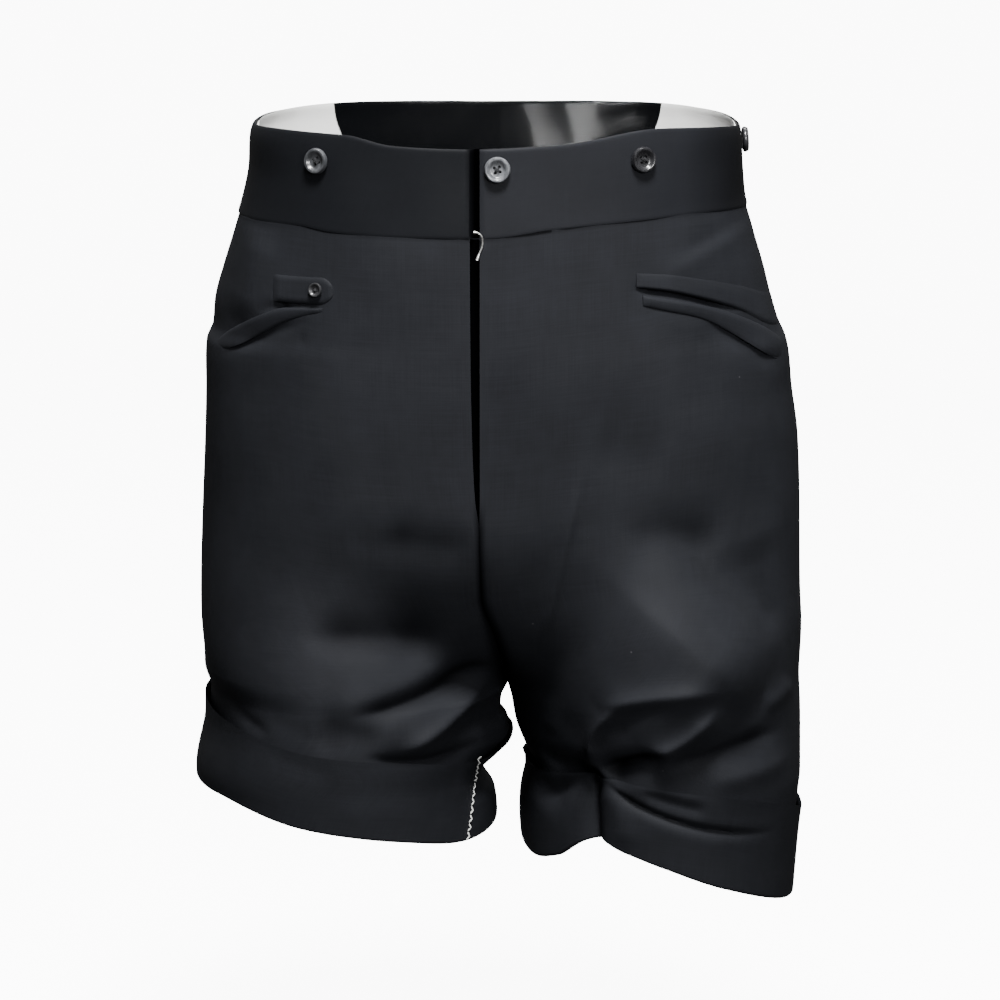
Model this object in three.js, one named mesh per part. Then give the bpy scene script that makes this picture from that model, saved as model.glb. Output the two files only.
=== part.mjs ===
// Men's high-waisted shorts with turned-up cuffs, cut down from dress trousers,
// standing filled out as if worn, with nobody in them.
//
// Millimetres, +Z up, +X towards the wearer's left, -Y the front. The origin is
// the middle of the waistband ring, where the waist holds the garment.
//
// Every cloth piece is a thin wall on one surface. The surface is a stack of
// level sections: one rounded trunk above the fork, which parts into two leg
// rings below it. A point of it is named by
//   half   'right' or 'left', the wearer's
//   face   'front' or 'back'
//   share  0 at the centre seam or the inner leg seam, 1 at the side seam
//   z      the height

import * as THREE from 'three';

// ---------------------------------------------------------------- sizes

const CLOTH = 1.6; // body cloth, pressed, with its seam allowances
const BAND = 2.0; // waistband cloth and canvas
const LINING = 1.0;
const GAP = 0.3; // between pieces that are sewn together
const BAND_PROUD = 0.6; // how far the waistband stands out over the body cloth

const FORK_Z = -329; // where the two legs part
const FRONT_FORK_TOP = -205; // the fork curve starts here in front
const BACK_FORK_TOP = -170; // and here behind, where the seat is cut deeper
const TRUNK_ROUND = 0.85; // 1 is an ellipse, less is squarer
const LEG_ROUND = 0.95;

const TAB_LEFT = 29.9; // the waistband tab ends here, left of the centre
const UNDERLAP_LEFT = 22; // and the band's underlap under it here
const FLY_END = -222;

const CUFF_EASE = 0.4; // between a leg and its cuff at the hem
const CUFF_FOLD = CLOTH + GAP; // the leg ends this far above the cuff's fold

const BUTTON = 16; // diameter of the waistband and brace buttons
const POCKET_BUTTON = 9;

// ---------------------------------------------------------------- tables

// The side seams seen from the front.
const SIDE = [
  { z: 30, right: -152.0, left: 147.0 },
  { z: 20, right: -155.2, left: 149.6 },
  { z: 0, right: -156.7, left: 150.6 },
  { z: -16, right: -159.8, left: 151.8 },
  { z: -39, right: -166.2, left: 158.1 },
  { z: -62, right: -172.8, left: 164.6 },
  { z: -85, right: -178.1, left: 169.9 },
  { z: -99, right: -179.2, left: 174.2 },
  { z: -110, right: -183.4, left: 179.2 },
  { z: -139, right: -184.8, left: 182.9 },
  { z: -170, right: -186.2, left: 187.0 },
  { z: -223, right: -188.0, left: 188.8 },
  { z: -290, right: -190.0, left: 189.8 },
  { z: -315, right: -188.8, left: 190.0 },
  { z: -331, right: -183.8, left: 190.0 },
  { z: -345, right: -184.2, left: 190.2 },
  { z: -384, right: -191.4, left: 190.6 },
  { z: -396, right: -191.4, left: 189.4 },
  { z: -412, right: -190.8, left: 187.6 },
  { z: -465, right: -190.0, left: 184.6 },
];

// The centre seams: the fly edge in front lies left of the wearer's middle.
const CENTRE = [
  { z: 40, front: -12.6, back: 0 },
  { z: -213, front: -12.6, back: 0 },
  { z: -258, front: -11.6, back: 0.8 },
  { z: -287, front: -3.0, back: 2.2 },
  { z: -318, front: 3.0, back: 4.0 },
  { z: FORK_Z, front: 4.6, back: 4.6 },
];

// The inner leg seams below the fork.
const INSEAM = [
  { z: FORK_Z, right: 4.6, left: 4.6 },
  { z: -338, right: 0.2, left: 7.2 },
  { z: -347, right: -0.8, left: 8.8 },
  { z: -354, right: 4.2, left: 10.2 },
  { z: -361, right: 4.8, left: 12.8 },
  { z: -369, right: -2.0, left: 16.2 },
  { z: -377, right: -11.4, left: 19.6 },
  { z: -384, right: -14.4, left: 19.4 },
  { z: -392, right: -11.6, left: 17.4 },
  { z: -400, right: -6.0, left: 15.6 },
  { z: -416, right: -4.0, left: 14.4 },
  { z: -430, right: -6.0, left: 14.8 },
];

// The same lines without their notches, for the front and the back of a leg.
const CALM = [
  { z: FORK_Z, right: 4.6, left: 4.6 },
  { z: -350, right: 0, left: 9.6 },
  { z: -384, right: -7, left: 15.6 },
  { z: -430, right: -6, left: 14.8 },
];

// Depth of the trunk: belly, seat, and the line of the side seams.
const TRUNK_DEPTH = [
  { z: 34, front: -103, back: 101, seam: 0 },
  { z: 0, front: -105, back: 104, seam: 0 },
  { z: -27, front: -107, back: 108, seam: 1 },
  { z: -50, front: -109, back: 114, seam: 3 },
  { z: -85, front: -111, back: 122, seam: 5 },
  { z: -150, front: -113, back: 134, seam: 8 },
  { z: -213, front: -112, back: 137, seam: 8 },
  { z: -290, front: -110, back: 126, seam: 8 },
  { z: FORK_Z, front: -108, back: 119, seam: 8 },
  { z: -480, front: -104, back: 108, seam: 4 },
];

const LEG_DEPTH = [
  { z: -200, front: -119, back: 138 },
  { z: -290, front: -116, back: 132 },
  { z: FORK_Z, front: -112, back: 124 },
  { z: -360, front: -108, back: 115 },
  { z: -400, front: -105, back: 110 },
  { z: -470, front: -104, back: 107 },
];

// The waistband's edges round the trunk. A turn of -1 is the right side seam,
// 0 the fly edge, 1 the left side seam, 2 and -2 the centre back.
const BAND_TOP = [
  { turn: -2, z: 28.4 },
  { turn: -1.6, z: 29.4 },
  { turn: -1.2, z: 28 },
  { turn: -1, z: 26.8 },
  { turn: -0.6, z: 28.2 },
  { turn: -0.36, z: 27.6 },
  { turn: -0.2, z: 21.8 },
  { turn: 0, z: 20.2 },
  { turn: 0.13, z: 22 },
  { turn: 0.43, z: 30.6 },
  { turn: 0.7, z: 28.5 },
  { turn: 1, z: 25.6 },
  { turn: 1.2, z: 27.4 },
  { turn: 1.6, z: 29.4 },
  { turn: 2, z: 28.4 },
];

const WAIST_SEAM = [
  { turn: -2, z: -26 },
  { turn: -1, z: -28.8 },
  { turn: -0.5, z: -28.7 },
  { turn: -0.36, z: -31.6 },
  { turn: 0, z: -33.6 },
  { turn: 0.13, z: -28.6 },
  { turn: 0.4, z: -23.8 },
  { turn: 0.55, z: -22.2 },
  { turn: 1, z: -24.3 },
  { turn: 2, z: -26 },
];

// The turned hem and the cuff's top edge round each leg.
const HEM = {
  right: {
    front: [
      { share: 0, z: -416 },
      { share: 0.16, z: -419.5 },
      { share: 0.39, z: -410.5 },
      { share: 0.57, z: -402 },
      { share: 0.81, z: -388.8 },
      { share: 1, z: -388 },
    ],
    back: [
      { share: 0, z: -416 },
      { share: 0.5, z: -402 },
      { share: 1, z: -388 },
    ],
  },
  left: {
    front: [
      { share: 0, z: -427 },
      { share: 0.13, z: -432 },
      { share: 0.225, z: -426 },
      { share: 0.34, z: -410.5 },
      { share: 0.42, z: -417.5 },
      { share: 0.635, z: -441 },
      { share: 0.93, z: -463 },
      { share: 1, z: -465 },
    ],
    back: [
      { share: 0, z: -427 },
      { share: 0.5, z: -446 },
      { share: 1, z: -465 },
    ],
  },
};

const CUFF_TOP = {
  right: {
    front: [
      { share: 0, z: -362 },
      { share: 0.16, z: -367 },
      { share: 0.39, z: -359 },
      { share: 0.57, z: -354 },
      { share: 0.81, z: -340.5 },
      { share: 1, z: -334.6 },
    ],
    back: [
      { share: 0, z: -362 },
      { share: 0.5, z: -348 },
      { share: 1, z: -334.6 },
    ],
  },
  left: {
    front: [
      { share: 0, z: -372 },
      { share: 0.13, z: -375 },
      { share: 0.34, z: -370 },
      { share: 0.6, z: -380 },
      { share: 0.8, z: -394 },
      { share: 1, z: -408 },
    ],
    back: [
      { share: 0, z: -372 },
      { share: 0.5, z: -390 },
      { share: 1, z: -408 },
    ],
  },
};

// How far each cuff's top edge stands off the leg, beyond its ease.
const CUFF_SLACK = {
  right: [
    { share: 0, slack: 1.6 },
    { share: 0.5, slack: 2.6 },
    { share: 1, slack: 1.4 },
  ],
  left: [
    { share: 0, slack: 2.4 },
    { share: 0.33, slack: 0.3 },
    { share: 0.6, slack: 3.4 },
    { share: 1, slack: 1.6 },
  ],
};

// The fly: the slit between the two fronts, how deep the right front sinks
// beside it, and how far the left front's folded edge rolls up.
const FLY = [
  { z: 40, slit: 5.2, sink: 3.2, roll: 1.0 },
  { z: -170, slit: 5.0, sink: 3.2, roll: 1.0 },
  { z: -215, slit: 3.0, sink: 2.4, roll: 0.8 },
  { z: -240, slit: 0, sink: 1.0, roll: 0.4 },
  { z: -300, slit: 0, sink: 0, roll: 0 },
];
const SINK_WIDTH = 14;
const ROLL_WIDTH = 9;

// The pockets' pieces on the fronts, each as an upper and a lower edge.
const WELT_RIGHT = [
  { x: -108, top: -77.6, bottom: -80.4 },
  { x: -116, top: -78.0, bottom: -82.4 },
  { x: -132, top: -79.0, bottom: -87.6 },
  { x: -146, top: -84.5, bottom: -95.8 },
  { x: -160, top: -92.5, bottom: -104.5 },
  { x: -176, top: -104.0, bottom: -111.8 },
];
const WELT_LEFT = [
  { x: 86.5, top: -69.6, bottom: -76.0 },
  { x: 100, top: -72.2, bottom: -79.6 },
  { x: 122, top: -77.4, bottom: -85.8 },
  { x: 135, top: -81.6, bottom: -92.2 },
  { x: 151, top: -89.0, bottom: -102.8 },
  { x: 168, top: -99.6, bottom: -114.6 },
  { x: 174.5, top: -104.0, bottom: -118.6 },
];
const FACING_LEFT = [
  { x: 82.5, top: -56.0, bottom: -67.2 },
  { x: 100, top: -57.6, bottom: -69.6 },
  { x: 122, top: -62.0, bottom: -74.8 },
  { x: 144, top: -67.6, bottom: -82.6 },
  { x: 166, top: -77.8, bottom: -95.8 },
];
const TAB = { outer: -138, inner: -101.5, middle: -67.3, width: 16.4 };

// The largest folds. Each runs from one point to another past a third, seen
// from the front or the back (x, z), or from a side (y, z). A rise above 0 is
// a ridge, below 0 a trough.
const FOLDS = [
  // right leg, front
  { face: 'front', from: [-76, -214], via: [-46, -222], to: [-12, -222], width: 11, rise: -2.4 },
  { face: 'front', from: [-118, -284], via: [-68, -281], to: [-16, -294], width: 15, rise: -6 },
  { face: 'front', from: [-108, -324], via: [-64, -316], to: [-26, -293], width: 10, rise: 2.8 },
  { face: 'front', from: [-104, -333], via: [-52, -321], to: [-2, -304], width: 8, rise: -6.5 },
  { face: 'front', from: [-64, -356], via: [-36, -338], to: [-4, -313], width: 8, rise: 5.5 },
  { face: 'front', from: [-86, -355], via: [-50, -361], to: [-10, -357], width: 7, rise: -3 },
  // left leg, front
  { face: 'front', from: [54, -158], via: [80, -166], to: [106, -172], width: 15, rise: -2 },
  { face: 'front', from: [70, -222], via: [106, -219], to: [142, -227], width: 13, rise: -3.4 },
  { face: 'front', from: [158, -230], via: [162, -256], to: [172, -284], width: 14, rise: -2.6 },
  { face: 'front', from: [42, -222], via: [100, -277], to: [156, -334], width: 36, rise: 17, start: 0.6 },
  { face: 'front', from: [58, -366], via: [60, -342], to: [78, -322], width: 7, rise: 4 },
  { face: 'front', from: [64, -330], via: [96, -322], to: [136, -320], width: 8, rise: 4.5 },
  { face: 'front', from: [84, -355], via: [110, -345], to: [130, -324], width: 8, rise: 5 },
  { face: 'front', from: [60, -366], via: [80, -358], to: [104, -352], width: 8, rise: -6.5 },
  { face: 'front', from: [98, -362], via: [138, -353], to: [182, -346], width: 9, rise: -4.5 },
  { face: 'front', from: [122, -372], via: [154, -368], to: [186, -364], width: 8, rise: 2.6 },
  { face: 'front', from: [160, -328], via: [173, -326], to: [184, -319], width: 8, rise: 3 },
  { face: 'front', from: [60, -364], via: [43, -380], to: [22, -398], width: 9, rise: -4 },
  { face: 'front', from: [56, -362], via: [57, -384], to: [61, -408], width: 6, rise: -4 },
  { face: 'front', from: [60, -368], via: [104, -394], to: [168, -409], width: 7, rise: -3.5 },
  // seat and backs of the legs
  { face: 'back', from: [-120, -276], via: [-78, -262], to: [-22, -300], width: 15, rise: -5 },
  { face: 'back', from: [-104, -306], via: [-66, -288], to: [-16, -318], width: 12, rise: 4 },
  { face: 'back', from: [-92, -336], via: [-58, -326], to: [-20, -346], width: 10, rise: -4 },
  { face: 'back', from: [24, -296], via: [76, -264], to: [132, -288], width: 15, rise: -5 },
  { face: 'back', from: [20, -322], via: [70, -292], to: [118, -318], width: 12, rise: 4.5 },
  { face: 'back', from: [26, -350], via: [66, -332], to: [120, -352], width: 11, rise: -4 },
  { face: 'back', from: [60, -380], via: [100, -372], to: [150, -386], width: 9, rise: 3 },
  { face: 'back', from: [-60, -110], via: [-74, -160], to: [-70, -210], width: 18, rise: -2 },
  { face: 'back', from: [58, -112], via: [76, -158], to: [74, -214], width: 18, rise: -2 },
  // round the sides
  { face: 'side', half: 'left', from: [-60, -262], via: [0, -290], to: [56, -280], width: 14, rise: 0.8 },
  { face: 'side', half: 'left', from: [-52, -330], via: [4, -322], to: [60, -342], width: 12, rise: -0.9 },
  { face: 'side', half: 'right', from: [-46, -296], via: [6, -306], to: [62, -290], width: 13, rise: -1.2 },
];
const FOLD_STEPS = 8; // straight bits that a fold's line is measured along
const FOLD_TAPER = 0.3; // share of its length over which a fold dies away, unless it says its start

// Grid of each cloth piece: cells across and down.
const CELLS = {
  front: { across: 20, down: 32 },
  back: { across: 14, down: 24 },
};
const CUFF_ROWS = 3; // the panels' last rows lie behind the cuffs
const FORK_ROWS = 6; // rows from the fork down to the hem
const BAND_ROWS = 3;
const LINING_ROWS = 4;

// ---------------------------------------------------------------- materials

const cloth = (name, color, roughness, metalness = 0) =>
  new THREE.MeshStandardMaterial({ name, color, roughness, metalness });
const BODY_CLOTH = cloth('body_cloth', 0x2a2c30, 0.7);
const BAND_CLOTH = cloth('waistband_cloth', 0x25272b, 0.62);
const BACK_SATIN = cloth('back_lining_satin', 0x1b1d20, 0.32);
const SIDE_COTTON = cloth('side_lining_cotton', 0xc9c9c5, 0.85);
const DARK_HORN = cloth('dark_button', 0x1e2023, 0.28);
const GREY_HORN = cloth('grey_button', 0x6a6d72, 0.3);
const WIRE = cloth('hook_wire', 0xc4c4c0, 0.3, 0.9);

// ---------------------------------------------------------------- curves

const clamp = THREE.MathUtils.clamp;
const lerp = THREE.MathUtils.lerp;
const smooth = (low, high, x) => THREE.MathUtils.smoothstep(x, low, high);

const spread = (from, to, cells) =>
  Array.from({ length: cells + 1 }, (_, i) => lerp(from, to, i / cells));

// Reads one column of a table as a smooth curve with no overshoot.
function column(table, key, name) {
  const rows = [...table].sort((a, b) => a[key] - b[key]);
  const xs = rows.map((row) => row[key]);
  const ys = rows.map((row) => row[name]);
  const runs = xs.slice(1).map((x, i) => x - xs[i]);
  const slopes = runs.map((run, i) => (ys[i + 1] - ys[i]) / run);
  const tangents = ys.map((_, i) => {
    if (i === 0) return slopes[0];
    if (i === ys.length - 1) return slopes[i - 1];
    if (slopes[i - 1] * slopes[i] <= 0) return 0;
    return (runs[i - 1] + runs[i]) / (runs[i] / slopes[i - 1] + runs[i - 1] / slopes[i]);
  });
  return (at) => {
    const x = clamp(at, xs[0], xs[xs.length - 1]);
    let i = 0;
    while (i < runs.length - 1 && x > xs[i + 1]) i += 1;
    const t = (x - xs[i]) / runs[i];
    const rest = 1 - t;
    return (
      ys[i] * (1 + 2 * t) * rest * rest +
      tangents[i] * runs[i] * t * rest * rest +
      ys[i + 1] * t * t * (3 - 2 * t) +
      tangents[i + 1] * runs[i] * t * t * (t - 1)
    );
  };
}

const HALVES = ['right', 'left'];
const FACES = ['front', 'back'];
const SIGN = { right: -1, left: 1 };
const each = (names, make) => Object.fromEntries(names.map((name) => [name, make(name)]));

const sideX = each(HALVES, (half) => column(SIDE, 'z', half));
const centreX = each(FACES, (face) => column(CENTRE, 'z', face));
const inseamX = each(HALVES, (half) => column(INSEAM, 'z', half));
const calmX = each(HALVES, (half) => column(CALM, 'z', half));
const trunkY = each([...FACES, 'seam'], (name) => column(TRUNK_DEPTH, 'z', name));
const legY = each(FACES, (face) => column(LEG_DEPTH, 'z', face));
const bandTop = column(BAND_TOP, 'turn', 'z');
const waistSeam = column(WAIST_SEAM, 'turn', 'z');
const fly = each(['slit', 'sink', 'roll'], (name) => column(FLY, 'z', name));
const legLine = (lines, name = 'z') => each(HALVES, (half) =>
  each(FACES, (face) => column(lines[half][face] ?? lines[half], 'share', name)));
const hemZ = legLine(HEM);
const cuffTopZ = legLine(CUFF_TOP);
const cuffSlack = legLine(CUFF_SLACK, 'slack');

// ---------------------------------------------------------------- the surface

// 0 where a section is all trunk, 1 where it is all leg. At the centre seam it
// follows the round fork curve, and away from it a longer, softer change.
function legShare(face, share, z) {
  const top = face === 'front' ? FRONT_FORK_TOP : BACK_FORK_TOP;
  const down = Math.max((top - z) / (top - FORK_Z), 0);
  const room = 1 - down * down;
  const soft = Math.min(12 * share * share, 0.5); // rounder the further from the seam
  const atSeam = 1 - Math.sqrt(clamp((room + Math.hypot(room, soft)) / 2, 0, 1));
  const away = smooth(FORK_Z - 45, top + 10, z);
  return lerp(atSeam, 1 - away, smooth(0, 0.35, share));
}

function plainPoint(half, face, share, z) {
  const side = sideX[half](z);
  const inseam = lerp(inseamX[half](z), calmX[half](z), smooth(0.04, 0.22, share));
  const inner = z > FORK_Z ? centreX[face](z) : inseam;
  const seam = trunkY.seam(z);
  const quarter = (Math.PI / 2) * share;
  const trunk = [
    inner + (side - inner) * Math.sin(quarter) ** TRUNK_ROUND,
    seam + (trunkY[face](z) - seam) * Math.abs(Math.cos(quarter)) ** TRUNK_ROUND,
  ];
  const across = Math.cos(Math.PI * share);
  const bulge = Math.sign(across) * Math.abs(across) ** LEG_ROUND;
  const leg = [
    (inner + side) / 2 - ((side - inner) / 2) * bulge,
    seam + (legY[face](z) - seam) * Math.abs(Math.sin(Math.PI * share)) ** LEG_ROUND,
  ];
  const part = legShare(face, share, z);
  return new THREE.Vector3(lerp(trunk[0], leg[0], part), lerp(trunk[1], leg[1], part), z);
}

function outward(half, face, share, z) {
  const step = 0.01;
  const low = clamp(share - step, 0, 1);
  const high = clamp(share + step, 0, 1);
  const along = plainPoint(half, face, high, z).sub(plainPoint(half, face, low, z));
  const up = plainPoint(half, face, share, z + 1).sub(plainPoint(half, face, share, z - 1));
  const turned = SIGN[half] * (face === 'front' ? 1 : -1);
  return along.cross(up).multiplyScalar(turned).normalize();
}

// ---------------------------------------------------------------- folds

const foldLines = FOLDS.map((fold) => {
  const [from, via, to] = [fold.from, fold.via, fold.to].map((at) => new THREE.Vector2(...at));
  const bend = via.clone().multiplyScalar(2).sub(from.clone().add(to).multiplyScalar(0.5));
  const points = new THREE.QuadraticBezierCurve(from, bend, to).getPoints(FOLD_STEPS);
  return { ...fold, points };
});

// How far along a fold's line a place lies, and how far off it.
function nearestOnLine(points, x, y) {
  let best = { off: Infinity, along: 0 };
  for (let i = 0; i + 1 < points.length; i += 1) {
    const [a, b] = [points[i], points[i + 1]];
    const run = b.clone().sub(a);
    const t = clamp(((x - a.x) * run.x + (y - a.y) * run.y) / run.lengthSq(), 0, 1);
    const off = Math.hypot(x - a.x - run.x * t, y - a.y - run.y * t);
    if (off < best.off) best = { off, along: (i + t) / (points.length - 1) };
  }
  return best;
}

function foldRise(half, point, normal) {
  let rise = 0;
  for (const fold of foldLines) {
    const onSide = fold.face === 'side';
    const facing = { front: -normal.y, back: normal.y, side: SIGN[half] * normal.x }[fold.face];
    if (facing <= 0 || (onSide && fold.half !== half)) continue;
    const { off, along } = nearestOnLine(fold.points, onSide ? point.y : point.x, point.z);
    const ends = smooth(0, fold.start ?? FOLD_TAPER, along) * smooth(0, FOLD_TAPER, 1 - along);
    rise += fold.rise * Math.exp(-((off / fold.width) ** 2)) * ends * Math.min(1, 1.5 * facing);
  }
  return rise;
}

// The relief beside the fly, on the fronts.
function flyRelief(half, { x, z }) {
  const off = SIGN[half] * (x - centreX.front(z));
  if (half === 'left') return fly.roll(z) * (1 - smooth(0, ROLL_WIDTH, off));
  return -fly.sink(z) * (1 - smooth(0, SINK_WIDTH, off - fly.slit(z)));
}

// A place on the cloth's outer side, with the direction that it faces.
function place(half, face, share, z) {
  const point = plainPoint(half, face, share, z);
  const normal = outward(half, face, share, z);
  let rise = foldRise(half, point, normal);
  if (face === 'front' && z > FORK_Z) rise += flyRelief(half, point);
  point.addScaledVector(normal, rise);
  return { point, normal };
}

const moved = ({ point, normal }, lift) => ({
  point: point.clone().addScaledVector(normal, lift),
  normal,
});

// ---------------------------------------------------------------- solids

function solid(name, points, quads, material) {
  const position = points.flatMap((point) => [point.x, point.y, point.z]);
  let index = quads.flatMap(([a, b, c, d]) => {
    const short = points[a].distanceTo(points[c]) <= points[b].distanceTo(points[d]);
    return short ? [a, b, c, a, c, d] : [a, b, d, b, c, d];
  });
  let volume = 0;
  for (let i = 0; i < index.length; i += 3) {
    const [a, b, c] = index.slice(i, i + 3).map((k) => points[k]);
    volume += a.dot(b.clone().cross(c));
  }
  if (volume < 0) index = index.reverse();
  const geometry = new THREE.BufferGeometry();
  geometry.setAttribute('position', new THREE.Float32BufferAttribute(position, 3));
  geometry.setIndex(index);
  geometry.computeVertexNormals();
  const mesh = new THREE.Mesh(geometry, material);
  mesh.name = name;
  return mesh;
}

// A wall of cloth: rows of places on its outer side, thickened inwards.
function wall(name, rows, thickness, material) {
  const [down, across] = [rows.length, rows[0].length];
  const outer = rows.flat().map((at) => at.point);
  const inner = rows.flat().map((at) => moved(at, -thickness).point);
  const points = [...outer, ...inner];
  const under = outer.length;
  const at = (i, j) => i * across + j;
  const quads = [];
  for (let i = 0; i + 1 < down; i += 1) {
    for (let j = 0; j + 1 < across; j += 1) {
      const quad = [at(i, j), at(i, j + 1), at(i + 1, j + 1), at(i + 1, j)];
      quads.push(quad, quad.map((k) => k + under).reverse());
    }
  }
  const rim = [];
  for (let j = 0; j + 1 < across; j += 1) rim.push(at(0, j));
  for (let i = 0; i + 1 < down; i += 1) rim.push(at(i, across - 1));
  for (let j = across - 1; j > 0; j -= 1) rim.push(at(down - 1, j));
  for (let i = down - 1; i > 0; i -= 1) rim.push(at(i, 0));
  rim.forEach((a, k) => {
    const b = rim[(k + 1) % rim.length];
    quads.push([b, a, a + under, b + under]);
  });
  return solid(name, points, quads, material);
}

// A strip whose cross-section is a closed outline, with its two ends closed.
function strip(name, sections, endQuads, material) {
  const around = sections[0].length;
  const quads = [];
  for (let i = 0; i + 1 < sections.length; i += 1) {
    for (let k = 0; k < around; k += 1) {
      const next = (k + 1) % around;
      quads.push([i * around + k, i * around + next, (i + 1) * around + next, (i + 1) * around + k]);
    }
  }
  const last = (sections.length - 1) * around;
  for (const quad of endQuads) {
    quads.push([...quad].reverse(), quad.map((k) => k + last));
  }
  return solid(name, sections.flat(), quads, material);
}

// ---------------------------------------------------------------- body panels

// The height of a row of a panel's grid. Rows run level at the side seam; at
// the centre seam they spread round the fork curve. The last rows lie between
// the cuff's top edge and the hem, so that the cuff can be made from them.
function rowHeight(half, face, share, row) {
  const { down } = CELLS[face];
  const [cuffRow, forkRow] = [down - CUFF_ROWS, down - FORK_ROWS];
  const seamAt = (s) => waistSeam(SIGN[half] * (face === 'front' ? s : 2 - s)) - GAP;
  const cuffAt = (s) => cuffTopZ[half][face](s);
  const hemAt = (s) => hemZ[half][face](s) + CUFF_FOLD;
  if (row >= cuffRow) {
    return lerp(cuffAt(share), hemAt(share), (row - cuffRow) / CUFF_ROWS);
  }
  const level = lerp(seamAt(share), cuffAt(share), row / cuffRow);
  const forkTop = face === 'front' ? FRONT_FORK_TOP : BACK_FORK_TOP;
  const straight = seamAt(0) - forkTop;
  const curved = 1.6 * (forkTop - FORK_Z);
  const curveRow = (forkRow * straight) / (straight + curved);
  let inner;
  if (row < curveRow) inner = lerp(seamAt(0), forkTop, row / curveRow);
  else if (row < forkRow) {
    const angle = (Math.PI / 2) * ((row - curveRow) / (forkRow - curveRow));
    inner = forkTop - (forkTop - FORK_Z) * Math.sin(angle);
  } else inner = lerp(FORK_Z, cuffAt(0), (row - forkRow) / (cuffRow - forkRow));
  return level + (inner - lerp(seamAt(0), cuffAt(0), row / cuffRow)) * (1 - share) ** 2.5;
}

// The share at a distance from the centre seam, on the trunk's front.
function shareOfDistance(half, distance, z) {
  const reach = Math.abs(sideX[half](z) - centreX.front(z));
  return (2 / Math.PI) * Math.asin(clamp(distance / reach, 0, 1) ** (1 / TRUNK_ROUND));
}

function panel(half, face) {
  const { across, down } = CELLS[face];
  const rows = [];
  for (let i = 0; i <= down; i += 1) {
    const innerZ = rowHeight(half, face, 0, i);
    const slit = half === 'right' && face === 'front' && innerZ > FORK_Z ? fly.slit(innerZ) : 0;
    const start = shareOfDistance(half, slit, innerZ);
    rows.push(Array.from({ length: across + 1 }, (_, j) => {
      const share = lerp(start, 1, j / across);
      const at = place(half, face, share, rowHeight(half, face, share, i));
      at.point.x += (SIGN[half] * GAP) / 2;
      at.point.y += ((face === 'front' ? -1 : 1) * GAP) / 2;
      return at;
    }));
  }
  return wall(`${face}_${half}`, rows, CLOTH, BODY_CLOTH);
}

// ---------------------------------------------------------------- waistband

function onTrunk(turn, z) {
  const half = turn < 0 ? 'right' : 'left';
  const away = Math.abs(turn);
  const [face, share] = away <= 1 ? ['front', away] : ['back', 2 - away];
  return { point: plainPoint(half, face, share, z), normal: outward(half, face, share, z) };
}

const turnOfX = (x, z) => {
  const off = x - centreX.front(z);
  const half = off < 0 ? 'right' : 'left';
  return SIGN[half] * shareOfDistance(half, Math.abs(off), z);
};

// A band round part of the trunk, between two heights that follow the turn.
// A turn may be a pair, low and high, where the band's end slants.
function bandWall(name, turns, [lowZ, highZ], lift, thickness, rowCount, material) {
  const rows = spread(0, 1, rowCount).map((t) => turns.map((given) => {
    const turn = Array.isArray(given) ? lerp(given[0], given[1], t) : given;
    const at = onTrunk(turn, lerp(lowZ(turn), highZ(turn), t));
    return moved(at, lift(at.point.x, turn));
  }));
  return wall(name, rows, thickness, material);
}

// The turns where the panels have their columns, and those between two others.
const frontTurns = spread(-1, 1, 2 * CELLS.front.across);
const backTurns = spread(1, 2, CELLS.back.across).slice(1);
const columnTurns = [...backTurns.map((turn) => -turn).reverse(), ...frontTurns, ...backTurns];
const turnsBetween = (from, to) => {
  const clear = 0.006;
  const inner = columnTurns.filter((turn) => turn > from + clear && turn < to - clear);
  return [from, ...inner, to];
};

function waistband() {
  const edges = [waistSeam, bandTop];
  const gapTurn = GAP / 2 / 165; // half a seam gap as a turn, on a front about 165 mm wide
  const flyX = centreX.front(0);
  const tabEnd = turnOfX(TAB_LEFT, 0);
  const underlapEnd = turnOfX(UNDERLAP_LEFT, 0);
  const sink = BAND + GAP;
  const plain = () => BAND_PROUD;
  const underTab = (x, turn) => {
    const inFront = Math.abs(turn) < 1 ? smooth(flyX - 14, flyX - 1, x) : 0;
    return BAND_PROUD - sink * inFront;
  };
  const band = (name, from, to, lift) =>
    bandWall(name, turnsBetween(from, to), edges, lift, BAND, BAND_ROWS, BAND_CLOTH);
  return [
    band('waistband_right', -2 + gapTurn, underlapEnd, underTab),
    band('waistband_left', tabEnd + 2 * gapTurn, 2 - gapTurn, plain),
    band('waistband_tab', 0, tabEnd, plain),
  ];
}

// The linings that show inside the waist: satin behind, which narrows
// downwards, and cotton round the sides up to its slanting ends.
function linings() {
  const satinEnd = { low: 1.7, high: 1.535 };
  const cottonEnd = 0.95;
  const gapTurn = GAP / 2 / 110;
  const edges = [(turn) => waistSeam(turn) - 16, (turn) => bandTop(turn) + 1];
  const lift = () => -CLOTH - 2 * GAP;
  const lining = (name, half, [from, to], cells, material) => {
    const turns = spread(0, 1, cells).map((t) => ['low', 'high'].map((level) =>
      SIGN[half] * lerp(from[level], to[level], t)));
    return bandWall(`lining_${name}_${half}`, turns, edges, lift, LINING, LINING_ROWS, material);
  };
  const shifted = (ends, by) => ({ low: ends.low + by, high: ends.high + by });
  const straight = (turn) => ({ low: turn, high: turn });
  return HALVES.flatMap((half) => [
    lining('back', half, [shifted(satinEnd, gapTurn), straight(2 - gapTurn)], 8, BACK_SATIN),
    lining('side', half, [straight(cottonEnd), shifted(satinEnd, -gapTurn)], 10, SIDE_COTTON),
  ]);
}

// ---------------------------------------------------------------- fly

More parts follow.
